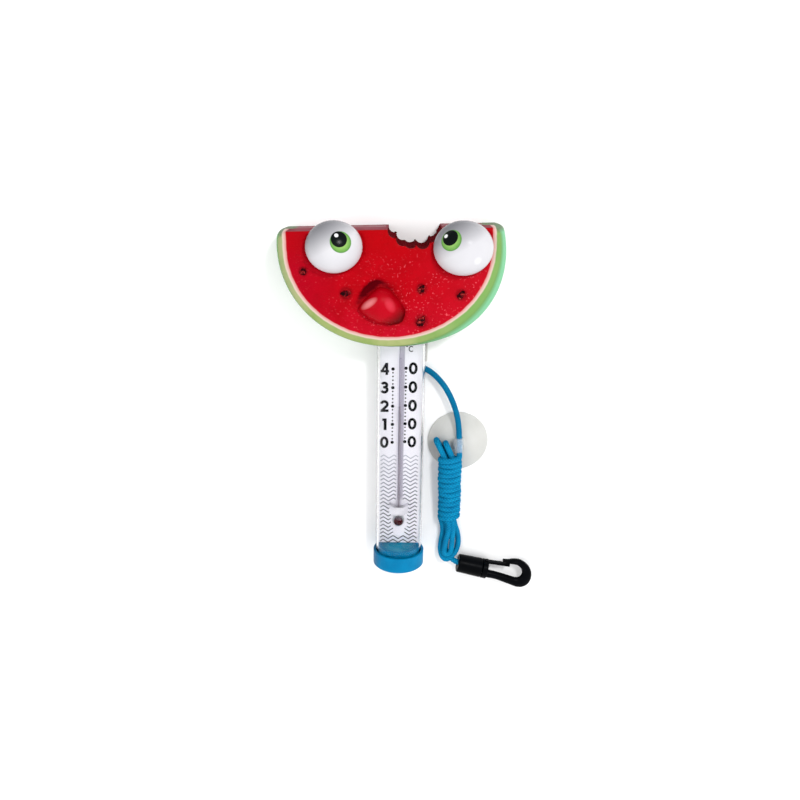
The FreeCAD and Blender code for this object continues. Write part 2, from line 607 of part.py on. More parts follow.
ROOT = Vector(size("gate_root_x"), size("gate_root_y"), 0)
slot_reach = size("gate_root_radius") + size("gate_slot_gap")
slot = block("hook_slot", ROOT - Vector(slot_reach, slot_reach, size("gate_slot") / 2),
             "2 * collar_length", "collar_radius", "gate_slot")
stem_length = size("collar_gap") + size("barrel_end_wall") + size("stem_play") + size("stem_head_thick")
collar = cut("hook_collar_slotted", disc("hook_collar", collar_x, "collar_radius", "collar_length"), slot)
notch_low = Vector(ROOT.x + size("collar_length"), size("notch_top") / 2, -size("collar_radius"))
notch = block("nose_notch", notch_low, "notch_end - gate_root_x - collar_length", "notch_top / 2",
              "2 * collar_radius")
bar_notched = cut("hook_bar_notched", hook_bar(), notch)
trunnion = primitive("Cylinder", "hook_trunnion",
                     Placement(ROOT - Vector(0, 0, size("gate_pin_length") / 2), Rotation()),
                     Radius="gate_pin", Height="gate_pin_length")
hook_parts = [disc("hook_stem_head", head_x, "stem_head", "stem_head_thick"),
              disc("hook_stem", head_x, "stem_radius", f"{stem_length} + collar_length / 3"),
              collar, bar_notched, trunnion]
node(fuse("snap_hook", hook_parts, HOOK_PLACE))

GATE_TURN = Rotation(Vector(0, 0, 1), size("gate_angle"))
UP = Vector(0, 0, 1)
gate_eye = primitive("Cylinder", "gate_eye", Placement(ROOT - UP * (size("gate_width") / 2), Rotation()),
                     Radius="gate_root_radius", Height="gate_width")
gate_low = ROOT + GATE_TURN.multVec(Vector(0, -size("gate_thick") / 2, -size("gate_width") / 2))
gate_bar = primitive("Box", "gate_bar", Placement(gate_low, GATE_TURN), Length="gate_length",
                     Width="gate_thick", Height="gate_width")
gate_bore = primitive("Cylinder", "gate_bore", Placement(ROOT - UP * size("gate_width"), Rotation()),
                      Radius="gate_pin + gate_play", Height="2 * gate_width")
node(cut("hook_gate", fuse("gate_blank", [gate_eye, gate_bar]), gate_bore, HOOK_PLACE))

# ---------------------------------------------------------------- check and export
doc.recompute()
for item in doc.Objects:
    assert not {"Invalid", "Error"} & set(item.State), f"{item.Label} failed: {item.State}"
os.makedirs("parts", exist_ok=True)
for item in nodes:
    shape = item.Shape
    assert not shape.isNull() and shape.isValid() and shape.Solids, f"{item.Label} has no valid solid"
    box = shape.BoundBox
    print(f"{item.Label:16s} {len(shape.Solids)} solids {shape.Volume:9.1f} mm3  x {box.XMin:.2f} {box.XMax:.2f}  "
          f"y {box.YMin:.2f} {box.YMax:.2f}  z {box.ZMin:.2f} {box.ZMax:.2f}")
    shape.exportStep(f"parts/{item.Label}.step")
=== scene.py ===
"""Looks of a floating pool thermometer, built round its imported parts. Metres, in the row's frame."""
import math

import bmesh
import bpy
import numpy as np
from mathutils import Matrix, Vector, noise
from mathutils.geometry import delaunay_2d_cdt


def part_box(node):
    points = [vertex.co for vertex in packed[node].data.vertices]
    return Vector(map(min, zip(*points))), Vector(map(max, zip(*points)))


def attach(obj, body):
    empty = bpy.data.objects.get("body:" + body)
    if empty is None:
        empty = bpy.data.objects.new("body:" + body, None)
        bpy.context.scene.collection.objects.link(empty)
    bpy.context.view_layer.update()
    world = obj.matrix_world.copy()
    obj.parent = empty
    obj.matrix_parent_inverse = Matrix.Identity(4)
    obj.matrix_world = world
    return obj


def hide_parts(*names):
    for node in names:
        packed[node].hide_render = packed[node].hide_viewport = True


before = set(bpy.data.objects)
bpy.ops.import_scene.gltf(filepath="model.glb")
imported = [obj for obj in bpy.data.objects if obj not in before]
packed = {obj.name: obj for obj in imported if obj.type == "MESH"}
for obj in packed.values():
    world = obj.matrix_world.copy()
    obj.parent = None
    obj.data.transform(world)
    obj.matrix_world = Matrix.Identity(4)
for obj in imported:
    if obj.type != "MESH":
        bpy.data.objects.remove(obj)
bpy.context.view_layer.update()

MM = 0.001
SCENE = bpy.context.scene

# ---------------------------------------------------------------- camera
lens = bpy.data.cameras.new("camera")
lens.lens, lens.sensor_width = 36.315, 36.0
lens.clip_start = 0.01
camera = bpy.data.objects.new("camera", lens)
camera.location = (0.00335, 0.13486, 0.4423)
camera.rotation_euler = (math.radians(-17.46), 0, math.radians(0.8))
SCENE.collection.objects.link(camera)
SCENE.camera = camera

# ---------------------------------------------------------------- places
# The tube's axis and the cap's underside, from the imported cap; the table is at z = 0.
CAP_LOW, CAP_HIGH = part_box("bottom_cap")
AXIS_X = (CAP_LOW.x + CAP_HIGH.x) / 2 / MM
AXIS_Z = (CAP_LOW.z + CAP_HIGH.z) / 2 / MM
BASE_Y = CAP_LOW.y / MM


def stand(x, y, z, turn=0.0, axis="Z"):
    """A place: a shift in millimetres, then a turn in degrees about one of its own axes."""
    return Matrix.Translation((x, y, z)) @ Matrix.Rotation(math.radians(turn), 4, axis)


BENCH_PLACE = stand(AXIS_X, BASE_Y, 0)
FLOAT_PLACE = stand(AXIS_X - 7.2, BASE_Y + 185.6, AXIS_Z, 1.85)
CUP_PLACE = stand(AXIS_X + 33.6, BASE_Y + 71.7, 0, 3.4)
HANK_PLACE = stand(AXIS_X + 29.8, BASE_Y + 24.2, 6.1, 1.4) @ stand(0, 0, 0, 5.3, "X")
HOOK_PLACE = stand(AXIS_X + 35.92, BASE_Y - 4.96, 5.95, -12.7)


def bench(x, y, z):
    """A point from the tube's axis, the cap's underside and the table, in millimetres."""
    return Vector((AXIS_X + x, BASE_Y + y, z)) * MM


def placed(matrix, x, y, z):
    return (matrix @ Vector((x, y, z))) * MM


# ---------------------------------------------------------------- mesh helpers
def mesh_object(name, verts, faces, body="float", smooth=True):
    """A mesh with its faces turned outwards, on a body unless that is left for later."""
    mesh = bpy.data.meshes.new(name)
    mesh.from_pydata([tuple(v) for v in verts], [], faces)
    mesh.validate()
    made = bpy.data.objects.new(name, mesh)
    SCENE.collection.objects.link(made)
    shape = bmesh.new()
    shape.from_mesh(mesh)
    bmesh.ops.recalc_face_normals(shape, faces=shape.faces)
    shape.to_mesh(mesh)
    shape.free()
    mesh.polygons.foreach_set("use_smooth", [smooth] * len(mesh.polygons))
    if body:
        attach(made, body)
    return made


def ring_faces(first, second, count):
    """Quads between two rings of the same number of points, by their first points."""
    return [(first + k, first + (k + 1) % count, second + (k + 1) % count, second + k) for k in range(count)]


def grid_faces(rings, count, closed=False):
    """Quads along a row of rings, and from the last to the first where the row is closed."""
    faces = []
    for r in range(rings if closed else rings - 1):
        faces += ring_faces(r * count, (r + 1) % rings * count, count)
    return faces


def smooth_step(low, high, value):
    t = min(1.0, max(0.0, (value - low) / (high - low)))
    return t * t * (3 - 2 * t)


def lathe(matrix, profile, segments, name, body, closed=False, squash=1.0):
    """A turned form: (radius, distance along local Z) in millimetres, capped or with a closed profile."""
    verts = []
    for radius, along in profile:
        for k in range(segments):
            a = 2 * math.pi * k / segments
            verts.append(placed(matrix, radius * math.cos(a) * squash, radius * math.sin(a), along))
    faces = grid_faces(len(profile), segments, closed)
    if not closed:
        faces.append(tuple(reversed(range(segments))))
        faces.append(tuple(range(len(verts) - segments, len(verts))))
    return mesh_object(name, verts, faces, body)


def tube_mesh(points, radius, around, name, relief, closed=False):
    """A tube along points, with a relief function of (distance along, share of the way round)."""
    points = [Vector(p) for p in points]
    count = len(points)
    tangents = []
    for i in range(count):
        before = points[i - 1] if (i or closed) else points[0]
        after = points[(i + 1) % count] if (i < count - 1 or closed) else points[-1]
        tangents.append((after - before).normalized())
    side = tangents[0].orthogonal().normalized()
    verts, heights, travelled = [], [], 0.0
    for i, (point, tangent) in enumerate(zip(points, tangents)):
        if i:
            travelled += (point - points[i - 1]).length
        side = (side - tangent * side.dot(tangent)).normalized()
        other = tangent.cross(side)
        for k in range(around):
            a = 2 * math.pi * k / around
            rise = relief(travelled, k / around)
            verts.append(point + (side * math.cos(a) + other * math.sin(a)) * (radius + rise))
            heights.append(rise)
    faces = grid_faces(count, around, closed)
    if not closed:
        faces.append(tuple(range(around)))
        faces.append(tuple(range((count - 1) * around, count * around)))
    made = mesh_object(name, verts, faces)
    layer = made.data.attributes.new("relief", "FLOAT", "POINT")
    low, high = min(heights), max(heights)
    layer.data.foreach_set("value", [(h - low) / (high - low) for h in heights])
    return made


def resample(points, step):
    """The same line with points a set distance apart."""
    points = [Vector(p) for p in points]
    made, left = [points[0].copy()], step
    for a, b in zip(points, points[1:]):
        run = (b - a).length
        while run >= left > 0:
            a = a.lerp(b, left / run)
            made.append(a.copy())
            run, left = (b - a).length, step
        left -= run
    made.append(points[-1].copy())
    return made


# ---------------------------------------------------------------- the cord
CORD = 3.2
# From the knot behind the lug, over in a low arch to the ring on the suction cup.
FREE_ROUTE = [(10.2, 116.9, 2.9), (14.2, 115.6, 3.6), (19.4, 112.2, 5.2), (24.3, 106.9, 6.4),
              (28.2, 100.4, 7.0), (31.2, 93.0, 7.2), (33.2, 85.2, 7.3), (34.0, 75.0, 7.3),
              (34.3, 66.8, 7.5)]
# The wound stretch: half sizes of a turn, its rise from turn to turn and where it starts and ends.
TURN_ACROSS, TURN_TAPER, TURN_HIGH, TURN_TOP, TURN_FOOT = 5.3, 0.2, 4.2, 40.9, 1.6
TURN_START, TURNS, TURN_POINTS = 15.0, 12.5, 14
# The four runs inside the wound stretch, across and up from its middle.
CORE = {"d": (1.9, -1.25), "c": (1.7, 1.4), "b": (-1.6, 1.4), "a": (-2.0, -1.2)}
# How far a run bows aside at each distance along the wound stretch.
CORE_BOW = {3.0: 0.0, 12.0: 0.25, 21.0: -0.2, 29.0: 0.2, 34.0: 0.0}
# The loops that leave the wound stretch at its foot and its head, in the order the cord runs.
FOOT_LOOP_WIDE = [(24.5, 25.0, 3.9), (25.0, 23.0, 3.0), (26.0, 20.0, 3.2), (26.6, 14.6, 3.3),
                  (25.7, 8.6, 2.9), (25.2, 2.8, 3.6), (26.3, -1.0, 5.6), (28.9, -2.6, 6.8),
                  (32.0, -1.3, 5.6), (34.6, 1.2, 3.6), (36.0, 5.0, 2.6), (36.0, 9.5, 2.8),
                  (35.1, 14.8, 3.8), (33.6, 18.9, 4.6)]
HEAD_LOOP_RIGHT = [(29.6, 63.4, 7.4), (28.2, 66.6, 6.6), (27.0, 69.8, 6.1), (26.2, 72.6, 6.2),
                   (26.4, 72.8, 9.8), (27.8, 70.0, 10.4), (29.2, 66.8, 10.6), (30.6, 63.6, 10.2)]
FOOT_LOOP_SLIM = [(32.0, 20.4, 7.4), (32.1, 15.7, 7.6), (31.9, 10.0, 7.2), (31.7, 5.0, 6.7),
                  (30.9, 1.2, 6.6), (27.4, 1.2, 7.0), (27.4, 5.4, 7.4), (28.3, 11.4, 8.0),
                  (29.4, 16.6, 8.4), (30.0, 20.8, 8.2)]
HEAD_LOOP_LEFT = [(26.8, 62.4, 10.2), (25.4, 65.4, 10.4), (23.7, 68.8, 10.1), (22.0, 72.0, 9.6),
                  (20.8, 74.3, 8.9), (20.9, 74.2, 5.5), (22.4, 71.4, 5.0), (24.3, 68.0, 5.4),
                  (26.0, 64.8, 6.4), (27.4, 61.4, 7.0)]
TAIL_ROUTE = [(28.6, 18.2, 4.2), (29.6, 12.2, 2.8), (28.4, 6.2, 2.1), (28.4, 0.8, 2.4),
              (31.7, -2.9, 4.0), (35.4, -4.85, 5.62), (39.5, -5.77, 5.95)]


def hank_point(across, along, up):
    return placed(HANK_PLACE, across, along, up)


def turn_points():
    made = []
    for k in range(int(TURNS * TURN_POINTS) + 1):
        share = k / (TURNS * TURN_POINTS)
        angle = math.radians(TURN_START + 360 * TURNS * share)
        slack = 1 + 0.025 * math.sin(7.3 * share * TURNS) + 0.02 * math.sin(2.9 * share * TURNS + 1)
        wander = 0.22 * math.sin(angle + 4.1 * share * TURNS)
        across = (TURN_ACROSS + TURN_TAPER * (1 - 2 * share)) * slack
        made.append(hank_point(across * math.cos(angle), TURN_TOP + (TURN_FOOT - TURN_TOP) * share + wander,
                               TURN_HIGH * slack * math.sin(angle)))
    return made


def core_run(name, upward):
    across, up = CORE[name]
    return [hank_point(across + CORE_BOW[stop], stop, up) for stop in sorted(CORE_BOW, reverse=not upward)]


route = [bench(*p) for p in FREE_ROUTE] + turn_points()
for loop_points, run_name, is_upward in ((FOOT_LOOP_WIDE, "d", True), (HEAD_LOOP_RIGHT, "c", False),
                                         (FOOT_LOOP_SLIM, "b", True), (HEAD_LOOP_LEFT, "a", False)):
    route += [bench(*p) for p in loop_points] + core_run(run_name, is_upward)
route += [bench(*p) for p in TAIL_ROUTE]


def spline_line(points, name):
    """The line of a smooth spline through its control points, read back from Blender."""
    curve = bpy.data.curves.new(name, "CURVE")
    curve.dimensions = "3D"
    spline = curve.splines.new("NURBS")
    spline.points.add(len(points) - 1)
    for item, point in zip(spline.points, points):
        item.co = (*point, 1)
    spline.order_u = 3
    spline.use_endpoint_u = True
    spline.resolution_u = 8
    holder = bpy.data.objects.new(name, curve)
    SCENE.collection.objects.link(holder)
    mesh = bpy.data.meshes.new_from_object(holder)
    line = [v.co.copy() for v in mesh.vertices]
    bpy.data.objects.remove(holder)
    bpy.data.meshes.remove(mesh)
    return line


PLAIT_STRANDS, PLAIT_LENGTH = 5, 7.8


def plait(along, around):
    """Height of a tubular plait: two families of flat strands, over and under in turn."""
    turn = along / (PLAIT_LENGTH * MM)
    first, second = PLAIT_STRANDS * (around + turn), PLAIT_STRANDS * (around - turn)
    a, b = first % 1.0, second % 1.0
    over = (math.floor(first) + math.floor(second)) % 2 == 0
    top = 1 - abs(2 * (a if over else b) - 1) ** 2.4
    cross = 1 - abs(2 * (b if over else a) - 1) ** 2.4
    return (0.3 * top * (0.4 + 0.6 * cross) - 0.19) * MM


cord_line = spline_line(route, "cord_line")
cord_path = resample(cord_line, 0.3 * MM)
cord = tube_mesh(cord_path, CORD / 2 * MM, 26, "tether_cord", plait)
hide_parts("cord_free", "cord_hank", "cord_tail")


def knot_piece(name, matrix, node, wide, thick):
    """An overhand knot: the cord's end round itself, pulled tight."""
    steps = 84
    line = []
    for k in range(steps):
        t = 2 * math.pi * k / steps
        line.append(placed(matrix, wide * (math.sin(t) + 2 * math.sin(2 * t)) / 3,
                           wide * (math.cos(t) - 2 * math.cos(2 * t)) / 3, -wide * 0.42 * math.sin(3 * t)))
    made = tube_mesh(line, thick * MM, 18, name, plait, closed=True)
    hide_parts(node)
    return made


KNOT_PLACE = BENCH_PLACE @ stand(9.6, 116.8, 2.35, 90, "Y")
knot = knot_piece("tether_end_knot", KNOT_PLACE, "tether_knot", 1.35, 0.85)
STOPPER_PLACE = HOOK_PLACE @ stand(5.6, 0, 0, 90, "Y")
stopper = knot_piece("cord_end_knot", STOPPER_PLACE, "cord_stopper", 1.6, 0.95)

# ---------------------------------------------------------------- the slice
HALF = 14.7
HALF_WIDTH, HALF_LENGTH, TOP = 56.0, 50.9, 9.2
MARKS = [(3.1, 8.4), (7.2, 4.3), (11.2, 3.0), (17.2, 2.6), (21.9, 6.0)]
MARK_RADIUS = 3.5
BITE_SLACK = 1.0
RIND_STEPS, CORNER_STEPS, MARK_STEPS = 230, 8, 9


def rim_offset(angle, depth):
    arch = 1 - ((depth + 2.0) / (HALF + 2.0)) ** 2
    lobe = max(0.0, math.cos(angle - math.radians(-40))) ** 4
    foot = max(0.0, -math.sin(angle)) ** 8
    return 3.2 * arch * (1 + 1.3 * lobe) * (1 - 0.3 * foot)


def rind_point(angle, depth, inset):
    back = (HALF - depth) / (2 * HALF)
    grow = rim_offset(angle, depth) - inset
    return Vector(((HALF_WIDTH + grow) * math.cos(angle) + 1.2 * back,
                   (HALF_LENGTH + grow) * math.sin(angle) - 0.8 * back))


def mark_arcs():
    """Where each tooth mark's arc starts and ends, from its meetings with its neighbours."""
    meets = []
    for (ax, ay), (bx, by) in zip(MARKS, MARKS[1:]):
        apart = math.hypot(bx - ax, by - ay)
        reach = math.sqrt(MARK_RADIUS ** 2 - (apart / 2) ** 2) if apart < 2 * MARK_RADIUS else 0.0
        mx, my = (ax + bx) / 2, (ay + by) / 2
        ux, uy = (bx - ax) / apart, (by - ay) / apart
        meets.append((mx + reach * uy, my - reach * ux))
    arcs = []
    for index, (x, y) in enumerate(MARKS):
        start = math.pi if index == 0 else math.atan2(meets[index - 1][1] - y, meets[index - 1][0] - x)
        end = 0.0 if index == len(MARKS) - 1 else math.atan2(meets[index][1] - y, meets[index][0] - x)
        start = start - 2 * math.pi if start > math.pi / 2 else start
        end = end - 2 * math.pi if end > math.pi / 2 else end
        arcs.append((start, end))
    return arcs


ARCS = mark_arcs()


def slice_loop(depth, inset):
    """The slice's outline at one depth, anticlockwise, always with the same number of points."""
    back = (HALF - depth) / (2 * HALF)
    top = TOP - inset
    corner = 5.5 - 3.5 * back
    start = math.asin((top - corner + 0.8 * back) / HALF_LENGTH)
    right, left = rind_point(start, depth, inset), rind_point(-math.pi - start, depth, inset)
    loop = []
    bite_inset = 0.45 * inset
    last_x, first_x = MARKS[-1][0] + MARK_RADIUS + bite_inset, MARKS[0][0] - MARK_RADIUS - bite_inset
    centre = Vector((right.x - corner, top - corner))
    for k in range(CORNER_STEPS):
        a = math.pi / 2 * k / CORNER_STEPS
        loop.append(centre + Vector((math.cos(a), math.sin(a))) * corner)
    for k in range(16):
        loop.append(Vector((right.x - corner + (last_x - right.x + corner) * k / 16, top)))
    for (x, y), (low, high) in zip(reversed(MARKS), reversed(ARCS)):
        for k in range(MARK_STEPS):
            a = high + (low - high) * (k + 0.5) / MARK_STEPS
            loop.append(Vector((x, y)) + Vector((math.cos(a), math.sin(a))) * (MARK_RADIUS + bite_inset))
    for k in range(70):
        loop.append(Vector((first_x + (left.x + corner - first_x) * k / 70, top)))
    centre = Vector((left.x + corner, top - corner))
    for k in range(CORNER_STEPS):
        a = math.pi / 2 * (1 + k / CORNER_STEPS)
        loop.append(centre + Vector((math.cos(a), math.sin(a))) * corner)
    for k in range(RIND_STEPS):
        angle = (-math.pi - start) + (math.pi + 2 * start) * k / RIND_STEPS
        loop.append(rind_point(angle, depth, inset))
    return loop


# Each eye: its middle from the float's, and its half sizes.
EYES = {"eye_left": ((-27.8, 1.3, 15.9), (14.5, 13.2, 13.2)),
        "eye_right": ((37.7, -0.6, 15.9), (15.2, 13.8, 13.2))}
# Each seed: its place, the way it points in degrees, its half length and its half width.
SEEDS = [(-44.0, -10.9, 75, 2.0, 1.6), (-22.7, -22.7, 5, 2.8, 1.7), (16.3, -21.3, 60, 2.3, 1.6),
         (36.7, -24.6, 60, 2.5, 1.7), (16.0, -38.0, 60, 3.0, 2.2)]
# The nose's outline about its middle: direction in degrees and reach.
NOSE_X, NOSE_Y = -4.2, -30.6
NOSE_REACH = [(-180, 12.6), (-152, 9.6), (-127, 8.3), (-86, 8.5), (-60, 10.5), (-35, 12.8), (-10, 12.3),
              (15, 10.1), (45, 9.4), (72, 10.5), (95, 10.9), (118, 9.8), (140, 9.6), (160, 10.7), (180, 12.6)]


def nose_reach(angle):
    """How far the nose's outline is from its middle, in a direction in degrees."""
    angle = (angle + 180) % 360 - 180
    for (a, ra), (b, rb) in zip(NOSE_REACH, NOSE_REACH[1:]):
        if angle <= b:
            return ra + (rb - ra) * smooth_step(a, b, angle) * 0.35 + (rb - ra) * (angle - a) / (b - a) * 0.65
    return NOSE_REACH[-1][1]


def nose_distance(x, y):
    """Distance outside the nose's outline, and how much the groove round it is felt there."""
    angle = math.degrees(math.atan2(y - NOSE_Y, x - NOSE_X))
    felt = max(0.0, math.cos(math.radians(angle - 118))) ** 3.0
    return math.hypot(x - NOSE_X, y - NOSE_Y) - nose_reach(angle), felt


def face_height(x, y):
    """How far the flesh stands above the flat face: grains, ripples and hollows round the features."""
    p = Vector((x, y, 0.0))
    grain = noise.noise(p * 0.95) * 0.1 + noise.noise(p * 1.9 + Vector((9, 2, 0))) * 0.07
    coarse = noise.noise(p * 0.085 + Vector((4, 7, 3))) + 0.12 * smooth_step(-20, 10, x)
    patch = smooth_step(-0.2, 0.3, coarse)
    crumbs = max(0.0, noise.noise(p * 1.25 + Vector((31, 5, 0)))) ** 1.5 * patch
    wrinkle = noise.noise(Vector((x * 0.22, y * 1.05, 4.0))) * 0.26 * smooth_step(4.0, -24.0, x + 0.5 * y)
    ripple = noise.noise(p * 0.16) * 0.45
    height = grain + crumbs + ripple + wrinkle
    out, felt = nose_distance(x, y)
    height -= 1.7 * felt * math.exp(-((out - 0.8 - 2.0 * felt) / 1.9) ** 2)
    height -= 0.25 * math.exp(-((out - 0.2) / 0.9) ** 2)
    for (ex, ey, _), (ew, el, _) in EYES.values():
        r = math.hypot((x - ex) / ew, (y - ey) / el)
        height -= 0.5 * math.exp(-((r - 1.02) / 0.05) ** 2)
    for sx, sy, _, long, _ in SEEDS:
        r = math.hypot(x - sx, y - sy) / long
        height -= 0.5 * math.exp(-((r - 0.95) / 0.4) ** 2)
    edge = math.hypot((x - 0.3) / 53.0, (y - 0.6) / 47.0) if y < 0 else abs(x - 0.3) / 53.0
    return height * (1 - smooth_step(0.94, 0.985, edge)) * smooth_step(0.0, 1.6, TOP - 1.0 - y)


def face_shade(x, y):
    """Where the flesh gets painted shade: in the nose's groove and round the eyes and seeds."""
    out, felt = nose_distance(x, y)
    shade = 0.75 * felt * math.exp(-((out - 0.8 - 2.0 * felt) / 1.7) ** 2) if out > -1 else 0.0
    for (ex, ey, _), (ew, el, _) in EYES.values():
        r = math.hypot((x - ex) / ew, (y - ey) / el)
        side = 0.65 + 0.35 * math.cos(math.atan2(y - ey, x - ex) - math.radians(200))
        shade = max(shade, 0.55 * side * math.exp(-((r - 0.99) / 0.05) ** 2))
    for sx, sy, _, long, _ in SEEDS:
        r = math.hypot(x - sx, y - sy) / long
        shade = max(shade, 0.55 * math.exp(-((r - 0.9) / 0.35) ** 2))
    return min(1.0, shade)


def fill_face(loop, spacing):
    """Triangles over a closed outline, with evenly spaced points inside."""
    verts = [Vector(p) for p in loop]
    count = len(verts)
    xs, ys = [p.x for p in verts], [p.y for p in verts]
    outline = np.array([(p.x, p.y) for p in verts])
    nxt = np.roll(outline, -1, 0)
    row, y = 0, min(ys) + spacing / 2
    inner = []
    while y < max(ys):
        crossing = (outline[:, 1] > y) != (nxt[:, 1] > y)
        a, b = outline[crossing], nxt[crossing]
        cuts = sorted(a[:, 0] + (y - a[:, 1]) * (b[:, 0] - a[:, 0]) / (b[:, 1] - a[:, 1]))
        x = min(xs) + (spacing / 2 if row % 2 else 0)
        spots = np.arange(x, max(xs), spacing)
        for low, high in zip(cuts[::2], cuts[1::2]):
            inner += [(s, y) for s in spots[(spots > low) & (spots < high)]]
        y += spacing * 0.866
        row += 1
    inner = np.array(inner)
    keep = np.ones(len(inner), bool)
    for a, b in zip(outline, nxt):
        d = b - a
        t = np.clip(((inner - a) @ d) / max(1e-9, d @ d), 0, 1)
        keep &= np.hypot(*(inner - a - t[:, None] * d).T) > spacing * 0.55
    verts += [Vector(p) for p in inner[keep]]
    edges = [(k, (k + 1) % count) for k in range(count)]
    flat, _, faces, _, _, _ = delaunay_2d_cdt(verts, edges, [tuple(range(count))], 1, 1e-5)
    return flat, faces


def in_bite(x, y):
    return min(math.hypot(x - mx, y - my) for mx, my in MARKS) < MARK_RADIUS + BITE_SLACK


def shell(name, depths, spacing, face_depth, node):
    """Half of the slice: rings of its wall from the parting line to its face, then the face."""
    rings = [slice_loop(depth, inset) for depth, inset in depths]
    columns = len(rings[0])
    verts, shades = [], [0.0] * (len(rings) * columns)
    for (depth, inset), ring in zip(depths, rings):
        for p in ring:
            bump = Vector((0, 0))
            if in_bite(p.x, p.y) and abs(depth) < HALF - 1.2:
                spot = Vector((p.x * 0.5, p.y * 0.5, depth * 0.42))
                bump = Vector((noise.noise(spot), noise.noise(spot + Vector((7, 3, 1))))) * 0.55
            verts.append(placed(FLOAT_PLACE, p.x + bump.x, p.y + bump.y, depth))
    faces = grid_faces(len(rings), columns)
    flat, tris = fill_face(rings[-1], spacing)
    base = (len(rings) - 1) * columns
    index = {k: base + k for k in range(columns)}
    for k in range(columns, len(flat)):
        x, y = flat[k]
        rise = face_height(x, y) if face_depth > 0 else 0.25 * noise.noise(Vector((x, y, 9)) * 0.12)
        index[k] = len(verts)
        shades.append(face_shade(x, y) if face_depth > 0 else 0.0)
        verts.append(placed(FLOAT_PLACE, x, y, face_depth + rise))
    faces += [tuple(index[k] for k in face) for face in tris]
    made = mesh_object(name, verts, faces, None)
    made.data.attributes.new("shade", "FLOAT", "POINT").data.foreach_set("value", shades)
    thick = made.modifiers.new("wall", "SOLIDIFY")
    thick.thickness, thick.offset = 0.9 * MM, -1
    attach(made, "float")
    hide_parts(node)
    return made


WALL_STEPS, EDGE_STEPS, EDGE_RADIUS = 15, 5, 1.1


def half_rings(sign):
    """Depth and inset of each ring of one half: the seam's groove, the wall, then the rounded edge."""
    made = [(0.0, 0.28), (sign * 0.3, 0.0)]
    made += [(sign * (0.3 + 13.3 * k / WALL_STEPS), 0.0) for k in range(1, WALL_STEPS + 1)]
    for k in range(1, EDGE_STEPS + 1):
        a = math.pi / 2 * k / EDGE_STEPS
        made.append((sign * (HALF - EDGE_RADIUS * (1 - math.sin(a))), EDGE_RADIUS * (1 - math.cos(a))))
    return made


slice_front = shell("slice_front", half_rings(1), 0.55, HALF, "front_shell")
slice_back = shell("slice_back", half_rings(-1), 2.2, -HALF, "back_shell")


# ---------------------------------------------------------------- eyes, nose and seeds
def ellipsoid_mesh(name, matrix, centre, half, rings, segments, shape=None):
    """A closed form of rings from pole to pole along local Z, shaped by a function of direction."""
    verts = []
    for r in range(1, rings):
        tilt = math.pi * r / rings
        for k in range(segments):
            a = 2 * math.pi * k / segments
            d = Vector((math.sin(tilt) * math.cos(a), math.sin(tilt) * math.sin(a), math.cos(tilt)))
            p = Vector((centre[0] + half[0] * d.x, centre[1] + half[1] * d.y, centre[2] + half[2] * d.z))
            verts.append(placed(matrix, *(shape(p, d) if shape else p)))
    faces = grid_faces(rings - 1, segments)
    top, bottom = len(verts), len(verts) + 1
    for d in (Vector((0, 0, 1)), Vector((0, 0, -1))):
        p = Vector((centre[0], centre[1], centre[2] + half[2] * d.z))
        verts.append(placed(matrix, *(shape(p, d) if shape else p)))
    last = (rings - 2) * segments
    faces += [(top, (k + 1) % segments, k) for k in range(segments)]
    faces += [(bottom, last + k, last + (k + 1) % segments) for k in range(segments)]
    return mesh_object(name, verts, faces)


eye_objects = {}
for eye_name, (centre, half) in EYES.items():
    ball = ellipsoid_mesh(eye_name + "_ball", FLOAT_PLACE, centre, half, 72, 96)
    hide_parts(eye_name)
    eye_objects[eye_name] = ball


def nose_form(p, d):
    """A low dome over the nose's outline, its crest drawn a little up and to the left."""
    angle = math.degrees(math.atan2(d.y, d.x))
    across = math.hypot(d.x, d.y)
    reach = nose_reach(angle) * across ** 0.92
    lift = max(0.0, d.z)
    x = NOSE_X + reach * math.cos(math.radians(angle)) - 0.9 * lift ** 2
    y = NOSE_Y + reach * math.sin(math.radians(angle)) + 1.3 * lift ** 2
    return Vector((x, y, HALF - 0.7 + 8.2 * d.z if d.z > 0 else HALF - 0.7 + 1.5 * d.z))


nose = ellipsoid_mesh("nose_form", FLOAT_PLACE, (NOSE_X, NOSE_Y, HALF), (10.0, 10.0, 8.2), 64, 120, nose_form)
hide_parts("nose")


def seed_mesh(index, x, y, turn, long, wide):
    matrix = FLOAT_PLACE @ stand(x, y, HALF, turn)

    def form(p, d):
        spot = Vector((d.x * 1.7, d.y * 1.7, d.z + index * 5.0))
        rough = 1 + 0.3 * noise.noise(spot) + 0.12 * noise.noise(spot * 2.3)
        taper = 1 - 0.3 * smooth_step(-0.4, 1.0, d.x)
        return Vector((p.x * rough, p.y * taper * rough, p.z * (1 + 0.5 * noise.noise(spot * 1.4)) - 0.15))

    return ellipsoid_mesh(f"seed_{index}", matrix, (0, 0, 0), (long, wide, 0.9), 24, 32, form)


seed_objects = [seed_mesh(index, *values) for index, values in enumerate(SEEDS, start=1)]
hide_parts("seeds")

# ---------------------------------------------------------------- printed card
CARD_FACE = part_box("scale_card")[1].z / MM
INK_THICK = 0.05


def ribbon(points, wide):
    """The outline of a stroke of even width along points, with squared ends."""
    points = [Vector(p) for p in points]
    left, right = [], []
    for i, p in enumerate(points):
        before = points[max(0, i - 1)]
        after = points[min(len(points) - 1, i + 1)]
        run_in = (p - before).normalized() if i else (after - p).normalized()
        run_out = (after - p).normalized() if i < len(points) - 1 else run_in
        mean = (run_in + run_out).normalized()
        normal = Vector((-mean.y, mean.x))
        stretch = 1 / max(0.45, normal.dot(Vector((-run_in.y, run_in.x))))
        left.append(p + normal * wide / 2 * stretch)
        right.append(p - normal * wide / 2 * stretch)
    return left + right[::-1]


